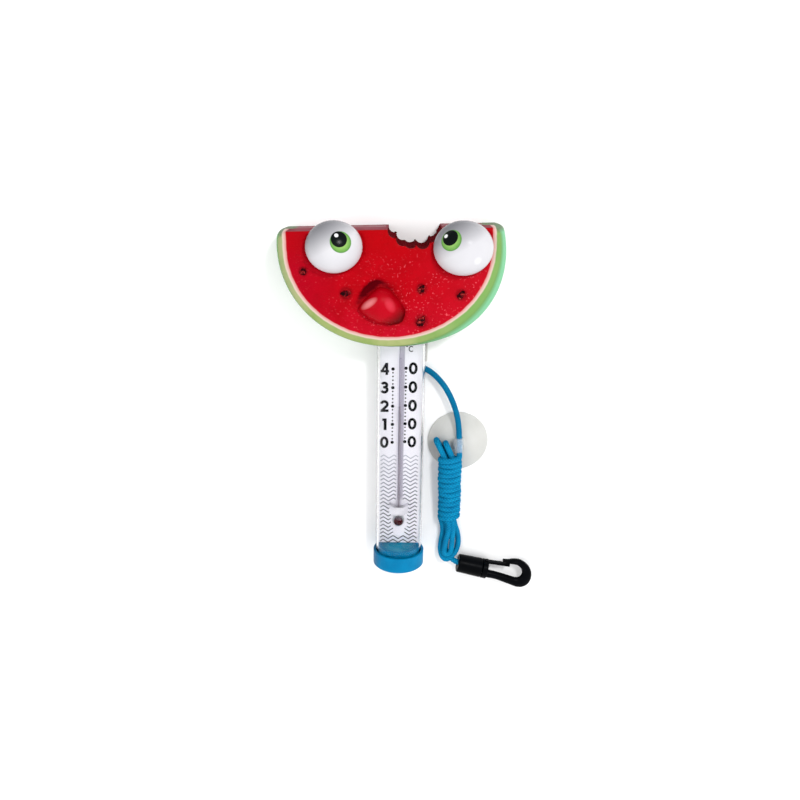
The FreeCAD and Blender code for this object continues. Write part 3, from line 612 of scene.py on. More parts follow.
def arc(x, y, across, along, start, end, steps=26):
    """Points on part of an ellipse, from one angle in degrees to another."""
    angles = [math.radians(start + (end - start) * k / steps) for k in range(steps + 1)]
    return [(x + across * math.cos(a), y + along * math.sin(a)) for a in angles]


def disc_outline(x, y, radius, steps=20):
    return arc(x, y, radius, radius, 0, 360, steps)[:-1]


def open_ring(x, y, across, along, wide, steps=26):
    """The outline of a ring as two halves that overlap a little, so that its middle stays open."""
    return [ribbon(arc(x, y, across, along, 88, 272, steps), wide),
            ribbon(arc(x, y, across, along, 268, 452, steps), wide)]


def covered(spots, outline):
    """Which of the spots lie inside a closed outline."""
    a = np.array([(p[0], p[1]) for p in outline])
    b = np.roll(a, -1, 0)
    inside = np.zeros(len(spots), bool)
    for (ax, ay), (bx, by) in zip(a, b):
        if ay != by:
            crosses = (ay > spots[:, 1]) != (by > spots[:, 1])
            inside ^= crosses & (spots[:, 0] < ax + (spots[:, 1] - ay) * (bx - ax) / (by - ay))
    return inside


def ink(name, outlines):
    """Printed marks on the card: the union of the outlines, as one thin raised layer."""
    verts, faces = [], []
    for outline in outlines:
        first = len(verts)
        verts += [Vector(p) for p in outline]
        faces.append(tuple(range(first, len(verts))))
    flat, _, tris, _, _, _ = delaunay_2d_cdt(verts, [], faces, 1, 1e-4)
    middles = np.array([[sum(flat[k][axis] for k in tri) / len(tri) for axis in (0, 1)] for tri in tris])
    inked = np.zeros(len(tris), bool)
    for outline in outlines:
        inked |= covered(middles, outline)
    tris = [tri for tri, keep in zip(tris, inked) if keep]
    made = mesh_object(name, [bench(x, y, CARD_FACE + 0.02) for x, y in flat], [tuple(t) for t in tris], None,
                       smooth=False)
    shape = bmesh.new()
    shape.from_mesh(made.data)
    bmesh.ops.delete(shape, geom=[v for v in shape.verts if not v.link_faces], context="VERTS")
    raised = bmesh.ops.extrude_face_region(shape, geom=shape.faces[:])
    lifted = [v for v in raised["geom"] if isinstance(v, bmesh.types.BMVert)]
    bmesh.ops.translate(shape, verts=lifted, vec=(0, 0, INK_THICK * MM))
    bmesh.ops.recalc_face_normals(shape, faces=shape.faces)
    shape.to_mesh(made.data)
    shape.free()
    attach(made, "float")
    return made


FIGURE_WIDE, FIGURE_TALL, STROKE = 4.9, 6.9, 1.5


def digit(value, x, y):
    """A rounded sans figure from 0 to 4, its middle at x, y."""
    w, h, s = (FIGURE_WIDE - STROKE) / 2, (FIGURE_TALL - STROKE) / 2, STROKE
    if value == 0:
        return open_ring(x, y, w, h, s)
    if value == 1:
        return [ribbon([(x + 0.45, y - h - s / 2), (x + 0.45, y + h + s / 2)], s * 1.1),
                ribbon([(x + 0.5, y + h + 0.02), (x - 1.25, y + h + 0.02)], s * 0.95)]
    if value == 2:
        line = arc(x - 0.1, y + h - w * 0.98, w * 0.98, w * 0.98, 172, -32, 22)
        line += [(x - w * 0.86, y - h + 0.05)]
        return [ribbon(line, s), ribbon([(x - w - s * 0.35, y - h), (x + w + s * 0.4, y - h)], s)]
    if value == 3:
        top, low = h * 0.46, h * 0.54
        return [ribbon(arc(x - 0.2, y + h - top, w * 0.82, top, 158, -92, 22), s),
                ribbon(arc(x - 0.2, y - h + low, w * 0.95, low, 96, -158, 24), s),
                ribbon([(x - 0.9, y + 0.22), (x + 0.3, y + 0.22)], s * 0.9)]
    return [ribbon([(x + 1.1, y + h + s * 0.5), (x + 1.1, y - h - s / 2)], s * 0.95),
            ribbon([(x + 0.9, y + h + s * 0.2), (x - w + 0.1, y - h * 0.5)], s * 0.85),
            ribbon([(x - w - s * 0.5, y - h * 0.5), (x + w + s * 0.45, y - h * 0.5)], s * 0.9)]


FIRST_MARK, MARK_PITCH = 75.1, 10.74
DOT_LEFT, DOT_RIGHT, RIGHT_RAISED = -4.48, 2.66, 0.5
figures, dots = [], []
for tens in range(5):
    level = FIRST_MARK + MARK_PITCH * tens
    figures += digit(tens, -9.0, level)
    figures += digit(0, 6.65, level + RIGHT_RAISED)
    for column, raised in ((DOT_LEFT, 0.0), (DOT_RIGHT, RIGHT_RAISED)):
        dots.append(disc_outline(column, level + raised, 0.95))
        if tens < 4:
            dots += [disc_outline(column, level + raised + MARK_PITCH * k / 5, 0.47, 14) for k in range(1, 5)]
degree = open_ring(3.05, 131.1, 0.36, 0.36, 0.36, 12)
degree.append(ribbon(arc(5.45, 129.5, 1.25, 1.4, 48, 312, 20), 0.52))
figure_ink = ink("scale_figures", figures + degree)
dot_ink = ink("scale_dots", dots)

WAVE_PITCH, WAVE_PERIOD, WAVE_SWING, WAVE_WIDE = 2.41, 5.9, 1.85, 0.58


def wave_outline(low_x, high_x, y, peak_x):
    """One ripple line: straight slopes between softened crests."""
    steps = max(4, int((high_x - low_x) / 0.16))
    line = []
    for k in range(steps + 1):
        x = low_x + (high_x - low_x) * k / steps
        phase = ((x - peak_x) / WAVE_PERIOD) % 1.0
        tent = abs(2 * phase - 1)
        line.append((x, y + WAVE_SWING * (tent + 0.035 * math.cos(2 * math.pi * phase) - 0.5)))
    return ribbon(line, WAVE_WIDE)


waves = []
for row in range(23):
    level = 13.4 + WAVE_PITCH * row
    if row < 2:
        waves.append(wave_outline(-11.0, 10.6, level, -9.2))
        continue
    gap = 3.6 if level < 22.0 else 5.0 if level < 39.0 else 2.3
    waves.append(wave_outline(-11.0, -gap + 0.3, level, -9.2))
    waves.append(wave_outline(gap - 0.3, 10.4, level, 3.2))
wave_ink = ink("scale_waves", waves)

# ---------------------------------------------------------------- the suction cup
CUP_PROFILE = [(0.0, 1.6), (4.0, 1.5), (8.0, 1.28), (12.0, 0.75), (15.4, 0.1), (15.9, 0.0), (17.1, 0.0),
               (17.4, 0.12), (17.5, 0.42), (17.4, 0.78), (17.0, 0.98), (15.0, 1.45), (12.6, 2.25),
               (10.4, 3.0), (8.4, 3.6), (6.4, 4.0), (4.6, 4.3), (3.7, 4.6), (3.3, 4.95), (3.1, 5.2),
               (2.6, 5.34), (0.0, 5.38)]


def curve_through(profile, steps):
    """A finer profile through the same points, rounded between them."""
    points = [Vector(p) for p in profile]
    fine = []
    for i in range(len(points) - 1):
        a, b = points[max(0, i - 1)], points[i]
        c, d = points[i + 1], points[min(len(points) - 1, i + 2)]
        for k in range(steps):
            t = k / steps
            fine.append(0.5 * ((2 * b) + (c - a) * t + (2 * a - 5 * b + 4 * c - d) * t * t
                               + (3 * b - a - 3 * c + d) * t ** 3))
    fine.append(points[-1])
    return [(max(0.02, p.x), p.y) for p in fine]


cup_disc = lathe(CUP_PLACE, curve_through(CUP_PROFILE, 3), 128, "suction_cup_disc", "cup")
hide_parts("suction_cup")
RING_PROFILE = [(2.35, -3.6), (2.5, -4.1), (2.75, -4.2), (3.0, -3.4), (3.25, -1.8), (3.34, 0.0), (3.25, 1.8),
                (3.0, 3.4), (2.75, 4.2), (2.5, 4.1), (2.35, 3.6), (2.3, 1.8), (2.28, 0.0), (2.3, -1.8)]
ring_line = curve_through(RING_PROFILE + RING_PROFILE[:1], 3)[:-1]
cup_ring = lathe(CUP_PLACE @ stand(0, 0, 7.3, -90, "X"), ring_line, 64, "suction_cup_ring", "cup", closed=True,
                 squash=0.94)


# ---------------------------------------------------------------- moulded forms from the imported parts
def moulded(name, node, body, voxel, rounds):
    """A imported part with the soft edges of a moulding: remeshed finely, then smoothed."""
    mesh = packed[node].data.copy()
    made = bpy.data.objects.new(name, mesh)
    SCENE.collection.objects.link(made)
    mesh.materials.clear()
    remesh = made.modifiers.new("remesh", "REMESH")
    remesh.mode, remesh.voxel_size = "VOXEL", voxel * MM
    soft = made.modifiers.new("soft", "SMOOTH")
    soft.iterations, soft.factor = rounds, 0.6
    SCENE.view_layers[0].update()
    final = bpy.data.meshes.new_from_object(made.evaluated_get(bpy.context.evaluated_depsgraph_get()))
    made.modifiers.clear()
    made.data = final
    final.name = name
    final.polygons.foreach_set("use_smooth", [True] * len(final.polygons))
    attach(made, body)
    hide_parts(node)
    return made


hook = moulded("snap_hook_moulded", "snap_hook", "hook", 0.22, 7)
gate = moulded("hook_gate_moulded", "hook_gate", "gate", 0.16, 4)
lug = moulded("tether_lug_moulded", "tether_lug", "float", 0.22, 8)
barrel = moulded("swivel_barrel_moulded", "swivel_barrel", "float", 0.2, 3)


# ---------------------------------------------------------------- materials
class Shade:
    """A procedural material under construction: small wrappers round its nodes."""

    def __init__(self, name, **settings):
        self.material = bpy.data.materials.new(name)
        self.material.use_nodes = True
        self.tree = self.material.node_tree
        self.shader = self.tree.nodes["Principled BSDF"]
        for socket, value in settings.items():
            self.shader.inputs[socket.replace("_", " ")].default_value = value
        self.coordinates = self.tree.nodes.new("ShaderNodeTexCoord").outputs["Object"]

    def add(self, kind, **inputs):
        item = self.tree.nodes.new(kind)
        for socket, value in inputs.items():
            self.plug(item.inputs[socket.replace("_", " ")], value)
        return item

    def plug(self, socket, value):
        if isinstance(value, bpy.types.NodeSocket):
            self.tree.links.new(value, socket)
        else:
            socket.default_value = value

    def maths(self, operation, a, b=0.0):
        item = self.tree.nodes.new("ShaderNodeMath")
        item.operation = operation
        self.plug(item.inputs[0], a)
        self.plug(item.inputs[1], b)
        return item.outputs[0]

    def times(self, a, b):
        return self.maths("MULTIPLY", a, b)

    def plus(self, a, b):
        return self.maths("ADD", a, b)

    def less(self, a, b):
        return self.maths("SUBTRACT", a, b)

    def mapped(self, matrix):
        """Object coordinates as millimetres in a place's own frame."""
        shift, turn, _ = matrix.inverted().decompose()
        item = self.add("ShaderNodeMapping", Vector=self.coordinates)
        item.inputs["Location"].default_value = shift
        item.inputs["Rotation"].default_value = turn.to_euler()
        item.inputs["Scale"].default_value = (1000, 1000, 1000)
        return item.outputs[0]

    def axes(self, matrix):
        """The same coordinates, split into x, y and z."""
        return self.add("ShaderNodeSeparateXYZ", Vector=self.mapped(matrix)).outputs

    def noise(self, scale, detail=3.0, rough=0.55):
        item = self.add("ShaderNodeTexNoise", Vector=self.coordinates, Scale=scale, Detail=detail,
                        Roughness=rough)
        return item.outputs["Fac"]

    def ramp(self, value, stops):
        item = self.add("ShaderNodeValToRGB", Fac=value)
        while len(item.color_ramp.elements) < len(stops):
            item.color_ramp.elements.new(0.5)
        for element, (place, colour) in zip(item.color_ramp.elements, stops):
            element.position, element.color = place, (*colour, 1)
        return item.outputs["Color"]

    def mix(self, share, a, b):
        item = self.tree.nodes.new("ShaderNodeMix")
        item.data_type = "RGBA"
        self.plug(item.inputs["Factor"], share)
        for socket, value in ((item.inputs["A"], a), (item.inputs["B"], b)):
            self.plug(socket, (*value, 1) if isinstance(value, tuple) else value)
        return item.outputs["Result"]

    def spread(self, value, low, high, to_low=0.0, to_high=1.0):
        item = self.add("ShaderNodeMapRange", Value=value, From_Min=low, From_Max=high, To_Min=to_low,
                        To_Max=to_high)
        return item.outputs["Result"]

    def mottled(self, scale, detail, dark, light):
        """Two colours in soft patches."""
        return self.mix(self.spread(self.noise(scale, detail), 0.3, 0.7), dark, light)

    def colour(self, value):
        self.plug(self.shader.inputs["Base Color"], value)
        return self

    def roughness(self, low, high, scale):
        self.plug(self.shader.inputs["Roughness"], self.spread(self.noise(scale, 4.0), 0.3, 0.7, low, high))
        return self

    def bump(self, height, depth, distance):
        item = self.add("ShaderNodeBump", Height=height, Strength=depth, Distance=distance * MM)
        self.plug(self.shader.inputs["Normal"], item.outputs["Normal"])
        return self

    def on(self, *objects):
        for item in objects:
            item.data.materials.clear()
            item.data.materials.append(self.material)
        return self


STUDIO = 1.35


def linear(red, green, blue):
    """The paint that is seen as this screen colour, 0 to 255, in the studio's light."""
    return tuple(((c / 255 / 12.92) if c <= 10 else ((c / 255 + 0.055) / 1.055) ** 2.4) / STUDIO
                 for c in (red, green, blue))


def moulded_plastic(name, dark, light, low, high, grain=2200, **settings):
    """Moulded plastic: faint flow marks in the colour, uneven gloss and a fine skin."""
    made = Shade(name, **settings)
    made.colour(made.mottled(90, 4.0, dark, light))
    made.roughness(low, high, 260)
    made.bump(made.noise(grain, 2.0), 0.35, 0.03)
    return made


def clear_plastic(name, tints, patches, grain, depth, distance, **settings):
    """A clear part: two faint tints in patches and a slightly uneven surface."""
    made = Shade(name, **settings)
    made.colour(made.mottled(*patches, *tints))
    made.bump(made.noise(*grain), depth, distance)
    return made


# The slice, by the place on it. Both halves share these; the bite's wall colour is painted shade.
MILK, CORNER_GREEN, BITE_WALL_SHADE = linear(132, 158, 140), linear(104, 116, 84), linear(96, 0, 10)


def cut_face_sheen(paint):
    """The flat cut face: dull pink, the flesh's red with a painted sheen."""
    return paint.mottled(90, 3.0, linear(140, 66, 76), linear(158, 90, 98))


def flesh_colour(paint, x, y):
    """Red flesh, pinker to the right, with a painted pink sheen low down, painted glints as pale flecks, and
    painted shade where it is shaded.
    """
    mottle = paint.spread(paint.noise(120, 5.0), 0.25, 0.75)
    red = paint.mix(mottle, linear(172, 0, 12), linear(198, 0, 20))
    # Painted sheen: paler pink low down on the face.
    low_sheen = paint.times(paint.spread(y, -24.0, -42.0, 0.0, 0.75), mottle)
    red = paint.mix(low_sheen, red, linear(196, 16, 46))
    red = paint.mix(paint.spread(x, 8.0, 45.0, 0.0, 0.6), red, linear(196, 16, 36))
    red = paint.mix(paint.spread(x, -20.0, -46.0, 0.0, 0.7), red, linear(176, 0, 30))
    red = paint.mix(paint.spread(y, -9.0, 2.0, 0.0, 0.6), red, linear(180, 0, 6))
    # Painted glints: small pale pink flecks over the grains, most of them low down and to the right.
    glint_fleck = paint.ramp(paint.noise(820, 2.0, 0.6), [(0.0, (0, 0, 0)), (0.61, (0, 0, 0)), (0.69, (1, 1, 1))])
    glint_fleck = paint.times(paint.spread(paint.noise(75, 2.0), 0.4, 0.56, 0.05), glint_fleck)
    glint_fleck = paint.times(glint_fleck, paint.spread(y, 0.0, -14.0, 0.1))
    glint_fleck = paint.times(glint_fleck, paint.spread(x, -30.0, 12.0, 0.4))
    red = paint.mix(glint_fleck, red, linear(236, 84, 96))
    # Painted shade, from the face's shade attribute.
    shade = paint.add("ShaderNodeAttribute")
    shade.attribute_name = "shade"
    return paint.mix(shade.outputs["Fac"], red, linear(112, 0, 10))


def rind_colour(paint, x, y, z, zone):
    """Green rind: streaked on the face, milky to mint along the side with a painted highlight on its right
    part, dull at the upper corners.
    """
    streak = paint.spread(paint.noise(60, 3.0), 0.35, 0.65)
    green = paint.mix(streak, linear(136, 164, 88), linear(174, 182, 122))
    green = paint.mix(paint.spread(x, 6.0, 38.0, 0.0, 0.85), green, linear(124, 172, 92))
    green = paint.mix(paint.spread(x, -40.0, -50.0, 0.0, 0.5), green, linear(164, 170, 132))
    side = paint.ramp(paint.spread(z, -2.0, 13.4), [
        (0.0, MILK), (0.45, linear(96, 178, 112)), (0.8, linear(102, 160, 82)), (1.0, linear(124, 166, 88))])
    # Painted highlight: paler mint on the right part of the side.
    right_highlight = paint.times(paint.spread(x, 12.0, 40.0, 0.0, 0.8), paint.spread(z, 12.8, 9.0))
    side = paint.mix(right_highlight, side, linear(140, 214, 168))
    green = paint.mix(paint.spread(z, 12.6, 13.9), side, green)
    corner = paint.times(paint.spread(y, 6.2, 8.2, 0.0, 0.85), paint.spread(zone, 1.0, 1.03))
    return paint.mix(corner, green, CORNER_GREEN)


def melon_paint():
    """The front half: flesh, pale pith and green rind, with the bite's wall in painted shade and the cut face
    in a painted sheen.
    """
    paint = Shade("melon_paint", Specular_IOR_Level=0.03)
    x, y, z = paint.axes(FLOAT_PLACE)
    across = paint.maths("DIVIDE", paint.less(x, 0.3), 52.3)
    below = paint.maths("DIVIDE", paint.maths("MINIMUM", y, 0.0), 46.1)
    wobble = paint.times(paint.less(paint.noise(210, 2.0), 0.5), 0.012)
    radius = paint.maths("SQRT", paint.plus(paint.times(across, across), paint.times(below, below)))
    zone = paint.plus(radius, wobble)
    pith = paint.mix(paint.spread(zone, 1.0, 1.03), linear(216, 142, 140), linear(228, 204, 190))
    skin = paint.mix(paint.spread(zone, 0.996, 1.004), flesh_colour(paint, x, y), pith)
    skin = paint.mix(paint.spread(zone, 1.030, 1.042), skin, rind_colour(paint, x, y, z, zone))
    shaded_wall = paint.times(paint.spread(zone, 0.99, 1.0, 1.0, 0.0), paint.spread(z, 14.3, 13.6))
    skin = paint.mix(shaded_wall, skin, BITE_WALL_SHADE)
    skin = paint.mix(paint.times(shaded_wall, paint.spread(y, 9.0, 9.15)), skin, cut_face_sheen(paint))
    gloss = paint.spread(paint.noise(420, 3.0), 0.3, 0.7, 0.36, 0.52)
    paint.plug(paint.shader.inputs["Roughness"], paint.maths("MAXIMUM", gloss, shaded_wall))
    paint.bump(paint.noise(1500, 3.0, 0.6), 0.3, 0.08)
    return paint.colour(skin)


def rind_paint():
    """The back half: banded green, milky at the seam, with the bite's wall in painted shade and the cut face
    in a painted sheen.
    """
    paint = Shade("rind_paint", Specular_IOR_Level=0.03)
    x, y, z = paint.axes(FLOAT_PLACE)
    bands = paint.add("ShaderNodeTexWave", Vector=paint.coordinates, Scale=22.0, Distortion=5.0, Detail=3.0,
                      Detail_Scale=1.4)
    band = paint.spread(bands.outputs["Fac"], 0.25, 0.75)
    skin = paint.mix(band, linear(96, 158, 92), linear(128, 182, 122))
    skin = paint.mix(paint.spread(z, -9.0, 0.0), skin, MILK)
    across = paint.maths("DIVIDE", x, 50.0)
    below = paint.maths("DIVIDE", paint.maths("MINIMUM", y, 0.0), 44.0)
    reach = paint.plus(paint.times(across, across), paint.times(below, below))
    top_face = paint.times(paint.spread(y, 8.6, 9.0), paint.spread(reach, 0.9, 1.0, 1.0, 0.0))
    notch = paint.times(paint.spread(y, -1.6, -1.2), paint.spread(z, -14.68, -14.6))
    near = paint.times(paint.spread(x, -1.6, -1.4), paint.spread(x, 27.6, 27.4))
    shaded_bite = paint.times(notch, near)
    skin = paint.mix(paint.spread(y, 6.2, 8.2, 0.0, 0.85), skin, CORNER_GREEN)
    skin = paint.mix(shaded_bite, skin, BITE_WALL_SHADE)
    gloss = paint.spread(paint.noise(300, 3.0), 0.3, 0.7, 0.34, 0.5)
    paint.plug(paint.shader.inputs["Roughness"], paint.maths("MAXIMUM", gloss, shaded_bite))
    paint.bump(paint.noise(700, 3.0), 0.25, 0.08)
    return paint.colour(paint.mix(top_face, skin, cut_face_sheen(paint)))


melon_paint().on(slice_front)
rind_paint().on(slice_back)

# Each eye's iris, pupil and glint: how far across and along from the eye's own centre.
LOOK = {"eye_left": ((4.6, 3.8), (3.7, 5.1), (2.4, 6.8)),
        "eye_right": ((-7.1, 5.4), (-7.4, 6.5), (-9.3, 7.0))}
# The right eye's painted highlight: a soft white patch low on its right.
PAINTED_SHINE = {"eye_right": (6.1, -4.9, 10.3)}


def eye_paint(name):
    """Glossy white with a painted iris, pupil and glint, each by its distance from its own middle, painted
    shade to its upper left and, where one is listed, a painted highlight.
    """
    centre, half = EYES[name]
    paint = Shade(name + "_paint", Roughness=0.22, Specular_IOR_Level=0.07)
    place = paint.mapped(FLOAT_PLACE)
    x, y, _ = paint.axes(FLOAT_PLACE)

    def away(offset):
        item = paint.tree.nodes.new("ShaderNodeVectorMath")
        item.operation = "DISTANCE"
        paint.plug(item.inputs[0], place)
        item.inputs[1].default_value = Vector(centre) + Vector(offset)
        return item.outputs["Value"]

    def on_front(across, along):
        return across, along, half[2] * math.sqrt(1 - (across / half[0]) ** 2 - (along / half[1]) ** 2)

    iris, pupil, glint = (away(on_front(*spot)) for spot in LOOK[name])
    white = paint.mottled(60, 2.0, linear(219, 218, 223), linear(226, 225, 229))
    # Painted shade: greyer towards the eye's upper left.
    lean = paint.plus(paint.times(paint.less(y, centre[1]), 0.85 / half[1]),
                      paint.times(paint.less(x, centre[0]), -0.5 / half[0]))
    white = paint.mix(paint.spread(lean, 0.05, 0.95), white, linear(118, 118, 124))
    # Painted highlight, where one is listed.
    if name in PAINTED_SHINE:
        white = paint.mix(paint.spread(away(PAINTED_SHINE[name]), 0.5, 2.6, 0.7, 0.0), white, linear(252, 252, 252))
    fibre = paint.plus(iris, paint.times(paint.noise(900, 4.0), 1.1))
    green = paint.ramp(paint.spread(fibre, 3.4, 6.4), [
        (0.0, linear(150, 196, 104)), (0.55, linear(118, 172, 84)), (1.0, linear(70, 128, 58))])
    painted = paint.mix(paint.spread(iris, 5.35, 5.6, 1.0, 0.0), white, green)
    painted = paint.mix(paint.spread(pupil, 3.95, 4.2, 1.0, 0.0), painted, linear(10, 16, 16))
    painted = paint.mix(paint.spread(glint, 0.85, 1.15, 1.0, 0.0), painted, linear(246, 248, 248))
    paint.bump(paint.noise(420, 2.0), 0.05, 0.03)
    return paint.colour(painted)


for eye_name, ball in eye_objects.items():
    eye_paint(eye_name).on(ball)


def highlight_patch(paint, x, y, lean, middle, reach, strength):
    """The share of a soft painted highlight about a spot, longer one way than the other."""
    beside, beyond = paint.less(x, middle[0]), paint.less(y, middle[1])
    along = paint.plus(paint.times(beside, lean[0]), paint.times(beyond, lean[1]))
    aside = paint.less(paint.times(beside, lean[1]), paint.times(beyond, lean[0]))
    far = paint.plus(paint.maths("POWER", paint.maths("DIVIDE", along, reach[0]), 2.0),
                     paint.maths("POWER", paint.maths("DIVIDE", aside, reach[1]), 2.0))
    return paint.spread(far, 0.0, 1.0, strength, 0.0)


def nose_paint():
    """Glossy red, darker at its lower right as painted shade, with two soft painted highlights."""
    paint = Shade("nose_paint", Specular_IOR_Level=0.05)
    x, y, z = paint.axes(FLOAT_PLACE)
    lift = paint.spread(z, 16.0, 22.0)
    skin = paint.mottled(160, 4.0, paint.mix(lift, linear(166, 0, 12), linear(184, 0, 22)),
                         paint.mix(lift, linear(172, 0, 16), linear(194, 4, 30)))
    # Painted shade at the nose's lower right.
    low_right_shade = paint.less(paint.times(paint.less(x, NOSE_X), 0.62), paint.times(paint.less(y, NOSE_Y), 0.78))
    skin = paint.mix(paint.spread(low_right_shade, 4.0, 10.0), skin, linear(98, 0, 4))
    left_light = highlight_patch(paint, x, y, (0.82, 0.57), (-10.6, -27.2), (5.4, 1.9), 0.9)
    skin = paint.mix(left_light, skin, linear(238, 138, 140))
    right_light = highlight_patch(paint, x, y, (0.45, -0.89), (0.0, -28.0), (4.6, 2.6), 0.55)
    skin = paint.mix(right_light, skin, linear(240, 70, 90))
    paint.roughness(0.3, 0.42, 300)
    paint.bump(paint.noise(900, 3.0), 0.14, 0.06)
    return paint.colour(skin)


nose_paint().on(nose)

# Near-black seeds mottled dark red, their palest orange-red specks painted highlights.
seed_paint = Shade("seed_paint", Specular_IOR_Level=0.03)
seed_paint.colour(seed_paint.ramp(seed_paint.noise(620, 3.0), [
    (0.0, linear(20, 2, 5)), (0.47, linear(36, 2, 8)), (0.57, linear(120, 6, 18)),
    (0.68, linear(184, 70, 60))]))
seed_paint.roughness(0.25, 0.4, 300)
seed_paint.bump(seed_paint.noise(1800, 2.0), 0.3, 0.04)
seed_paint.on(*seed_objects)

# Clear parts.
clear_tube = clear_plastic(
    "clear_tube", ((0.965, 0.97, 0.975), (0.99, 0.99, 0.995)), (40, 2.0), (60, 2.0), 0.05, 0.05,
    Transmission_Weight=1.0, IOR=1.13, Specular_IOR_Level=0.5, Roughness=0.03)
clear_tube.on(packed["tube"])
clear_glass = clear_plastic(
    "clear_glass", ((0.95, 0.94, 0.97), (0.99, 0.98, 1.0)), (80, 2.0), (120, 2.0), 0.05, 0.03,
    Transmission_Weight=1.0, IOR=1.06, Specular_IOR_Level=0.5, Roughness=0.02)
clear_glass.on(packed["glass_capillary"], packed["capillary_loop"])
soft_clear = clear_plastic(
    "soft_clear", ((0.55, 0.55, 0.525), (0.61, 0.61, 0.59)), (70, 3.0), (260, 3.0), 0.12, 0.08,
    Transmission_Weight=0.12, IOR=1.35, Specular_IOR_Level=0.2, Roughness=0.34)
soft_clear.on(cup_disc, lug)
ring_clear = clear_plastic(
    "ring_clear", ((0.9, 0.95, 0.98), (0.96, 0.98, 1.0)), (120, 2.0), (300, 2.0), 0.1, 0.05,
    Transmission_Weight=0.86, IOR=1.12, Specular_IOR_Level=1.0, Roughness=0.06)
ring_clear.on(cup_ring)

# The spirit: dark red in the bulb and the thread's start, colourless above.
spirit = Shade("red_spirit", Roughness=0.15, Specular_IOR_Level=0.1)
_, y, _ = spirit.axes(BENCH_PLACE)
colourless = spirit.mix(spirit.noise(300, 2.0), linear(226, 220, 230), linear(214, 202, 216))
spirit.colour(spirit.mix(spirit.spread(y, 28.0, 31.0), linear(74, 0, 14), colourless))
spirit.on(packed["spirit_fill"])


def card_paint():
    """Lavender white card, with a grey strip and a darker line behind the glass as its painted shadow and
    shade.
    """
    paint = Shade("printed_card", Roughness=0.5, Specular_IOR_Level=0.1)
    x, y, _ = paint.axes(BENCH_PLACE)
    paper = paint.mottled(35, 3.0, (0.75, 0.735, 0.79), (0.81, 0.795, 0.85))
    upper = paint.spread(y, 39.0, 42.0)
    # Painted shadow and shade of the glass: a grey strip and a darker line along its left, above the bulb.
    glass_shadow = paint.times(paint.spread(x, -0.85, -0.65), paint.spread(x, 2.1, 1.9))
    line = paint.times(paint.spread(x, -1.05, -0.9), paint.spread(x, -0.6, -0.75))
    paper = paint.mix(paint.times(glass_shadow, upper), paper, linear(206, 202, 216))
    paper = paint.mix(paint.times(paint.times(line, upper), 0.8), paper, linear(132, 128, 148))
    paint.bump(paint.noise(1400, 3.0), 0.12, 0.03)
    return paint.colour(paper)


card_paint().on(packed["scale_card"])
print_ink = Shade("print_ink", Roughness=0.42, Specular_IOR_Level=0.08)
print_ink.colour(print_ink.mottled(900, 3.0, linear(2, 1, 8), linear(11, 10, 19)))
print_ink.on(figure_ink, dot_ink)
wave_print = Shade("wave_print", Roughness=0.45, Specular_IOR_Level=0.08)
_, y, _ = wave_print.axes(BENCH_PLACE)
ragged = wave_print.plus(y, wave_print.spread(wave_print.noise(500, 2.0), 0.3, 0.7, -1.0, 1.0))
wave_print.colour(wave_print.ramp(wave_print.spread(ragged, 12.0, 67.0), [
    (0.0, linear(48, 54, 68)), (0.3, linear(74, 80, 94)), (0.7, linear(128, 132, 146)),
    (1.0, linear(200, 202, 214))]))
wave_print.on(wave_ink)


def shaded_left(paint, colour, start, end, share, dark):
    """A colour with painted shade, darker towards the tube's left side."""
    x, _, _ = paint.axes(BENCH_PLACE)
    return paint.mix(paint.spread(x, start, end, share, 0.0), colour, dark)


# Solid plastics, rubber and steel.
white_plastic = moulded_plastic("white_plastic", linear(224, 222, 232), linear(240, 239, 246), 0.3, 0.45)
white_plastic.on(packed["bulb_saddle"], packed["top_plug"])
blue_plastic = moulded_plastic("blue_plastic", linear(0, 126, 178), linear(2, 144, 198), 0.3, 0.42, 900,
                               Specular_IOR_Level=0.06)
# Painted shade on the cap's left side.
clean = blue_plastic.shader.inputs["Base Color"].links[0].from_socket
blue_plastic.colour(shaded_left(blue_plastic, clean, -16.0, -10.0, 0.85, linear(0, 50, 92)))
blue_plastic.on(packed["bottom_cap"])
blue_gloss = Shade("blue_gloss", Specular_IOR_Level=0.12)
lid = blue_gloss.mottled(110, 2.0, linear(0, 118, 166), linear(30, 168, 206))
# Painted shade on the lid's left side.
blue_gloss.colour(shaded_left(blue_gloss, lid, -10.0, -5.0, 0.7, linear(0, 74, 118)))
blue_gloss.roughness(0.25, 0.4, 120)
blue_gloss.bump(blue_gloss.noise(200, 2.0), 0.1, 0.03)
blue_gloss.on(packed["spigot_lid"])
black_plastic = moulded_plastic("black_plastic", (0.0005, 0.0008, 0.001), (0.0014, 0.0018, 0.003), 0.26, 0.42,
                                1500, Specular_IOR_Level=0.03)
black_plastic.on(hook, gate, barrel)
rubber = moulded_plastic("seal_rubber", linear(24, 24, 26), linear(42, 42, 44), 0.5, 0.7, 1400)
rubber.on(packed["cap_seal"])
steel = Shade("ballast_steel", Metallic=1.0)
steel.colour(steel.mottled(140, 5.0, linear(148, 148, 146), linear(188, 188, 184)))
steel.roughness(0.28, 0.5, 420)
steel.bump(steel.noise(2600, 2.0), 0.2, 0.03)
steel.on(packed["ballast_weight"])


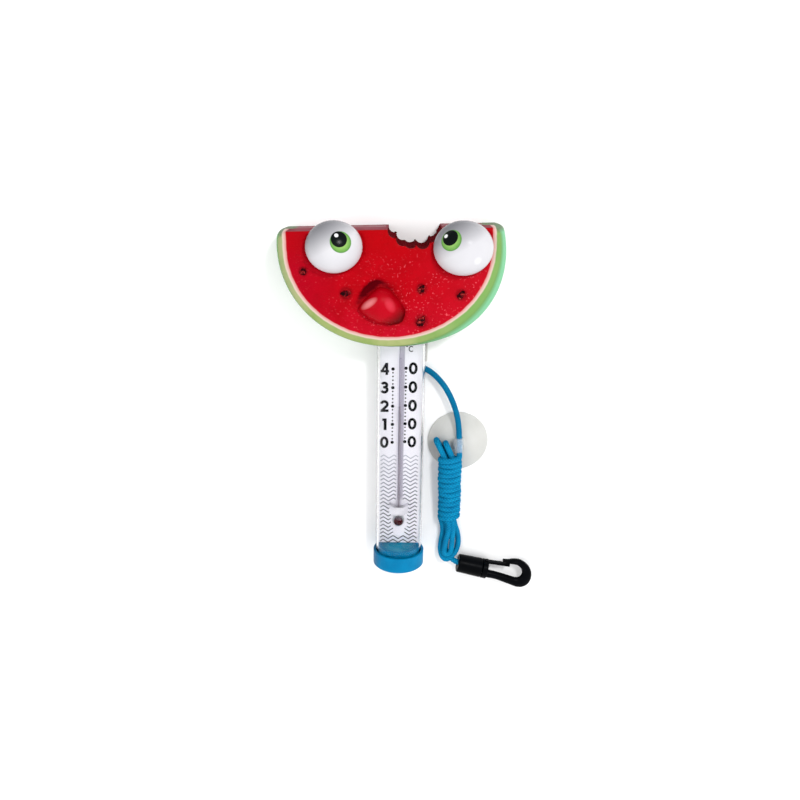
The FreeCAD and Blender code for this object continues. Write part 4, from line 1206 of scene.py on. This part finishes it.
def cord_paint():
    """Blue yarn, with painted shade between the plaits, darker in the slack stretch, and pale fibres."""
    paint = Shade("blue_cord", Roughness=0.8, Specular_IOR_Level=0.03)
    height = paint.add("ShaderNodeAttribute")
    height.attribute_name = "relief"
    tone = paint.mottled(160, 3.0, linear(0, 140, 192), linear(2, 162, 212))
    # Painted shade in the gaps between the plait's strands, where the relief is low.
    tone = paint.mix(paint.spread(height.outputs["Fac"], 0.05, 0.85), linear(0, 84, 136), tone)
    tone = paint.mix(paint.spread(paint.noise(3200, 2.0), 0.5, 0.75, 0.0, 0.3), tone, linear(90, 206, 238))
    _, y, _ = paint.axes(BENCH_PLACE)
    tone = paint.mix(paint.spread(y, 70.0, 80.0, 0.0, 0.6), tone, linear(8, 96, 138))
    paint.bump(paint.noise(4200, 2.0), 0.4, 0.05)
    return paint.colour(tone)


cord_paint().on(cord, knot, stopper)

# ---------------------------------------------------------------- floor and light
floor_mesh = bpy.data.meshes.new("floor")
FLOOR_REACH, FLOOR_LEVEL = 3, -0.0002
corners = [(x * FLOOR_REACH, y * FLOOR_REACH, FLOOR_LEVEL) for x, y in ((-1, -1), (1, -1), (1, 1), (-1, 1))]
floor_mesh.from_pydata(corners, [], [(0, 1, 2, 3)])
floor = bpy.data.objects.new("floor", floor_mesh)
SCENE.collection.objects.link(floor)
pale = Shade("pale_floor", Roughness=0.9, Specular_IOR_Level=0.1)
pale.shader.inputs["Base Color"].default_value = (0.93, 0.93, 0.93, 1)
pale.on(floor)

world = bpy.data.worlds.new("studio")
world.use_nodes = True
sky = world.node_tree
background = sky.nodes["Background"]
background.inputs["Color"].default_value = (1.0, 1.0, 1.0, 1)
aim = sky.nodes.new("ShaderNodeTexCoord").outputs["Generated"]
tilt = sky.nodes.new("ShaderNodeVectorMath")
tilt.operation = "DOT_PRODUCT"
tilt.inputs[1].default_value = (0.22, -0.5, 0.0)
sky.links.new(aim, tilt.inputs[0])
level = sky.nodes.new("ShaderNodeMath")
level.operation = "ADD"
level.inputs[1].default_value = 1.1
sky.links.new(tilt.outputs["Value"], level.inputs[0])
sky.links.new(level.outputs["Value"], background.inputs["Strength"])
SCENE.world = world


def softbox(name, place, aim, size, power):
    data = bpy.data.lights.new(name, "AREA")
    data.shape, data.size, data.energy = "DISK", size, power
    item = bpy.data.objects.new(name, data)
    item.location = place
    item.rotation_euler = (Vector(aim) - Vector(place)).to_track_quat("-Z", "Y").to_euler()
    SCENE.collection.objects.link(item)


softbox("key", (0.32, 0.5, 0.8), (0, 0, 0), 0.16, 4.2)
softbox("fill", (-0.5, 0.15, 0.8), (0, 0, 0), 0.4, 1.6)
SCENE.view_settings.view_transform = "Standard"
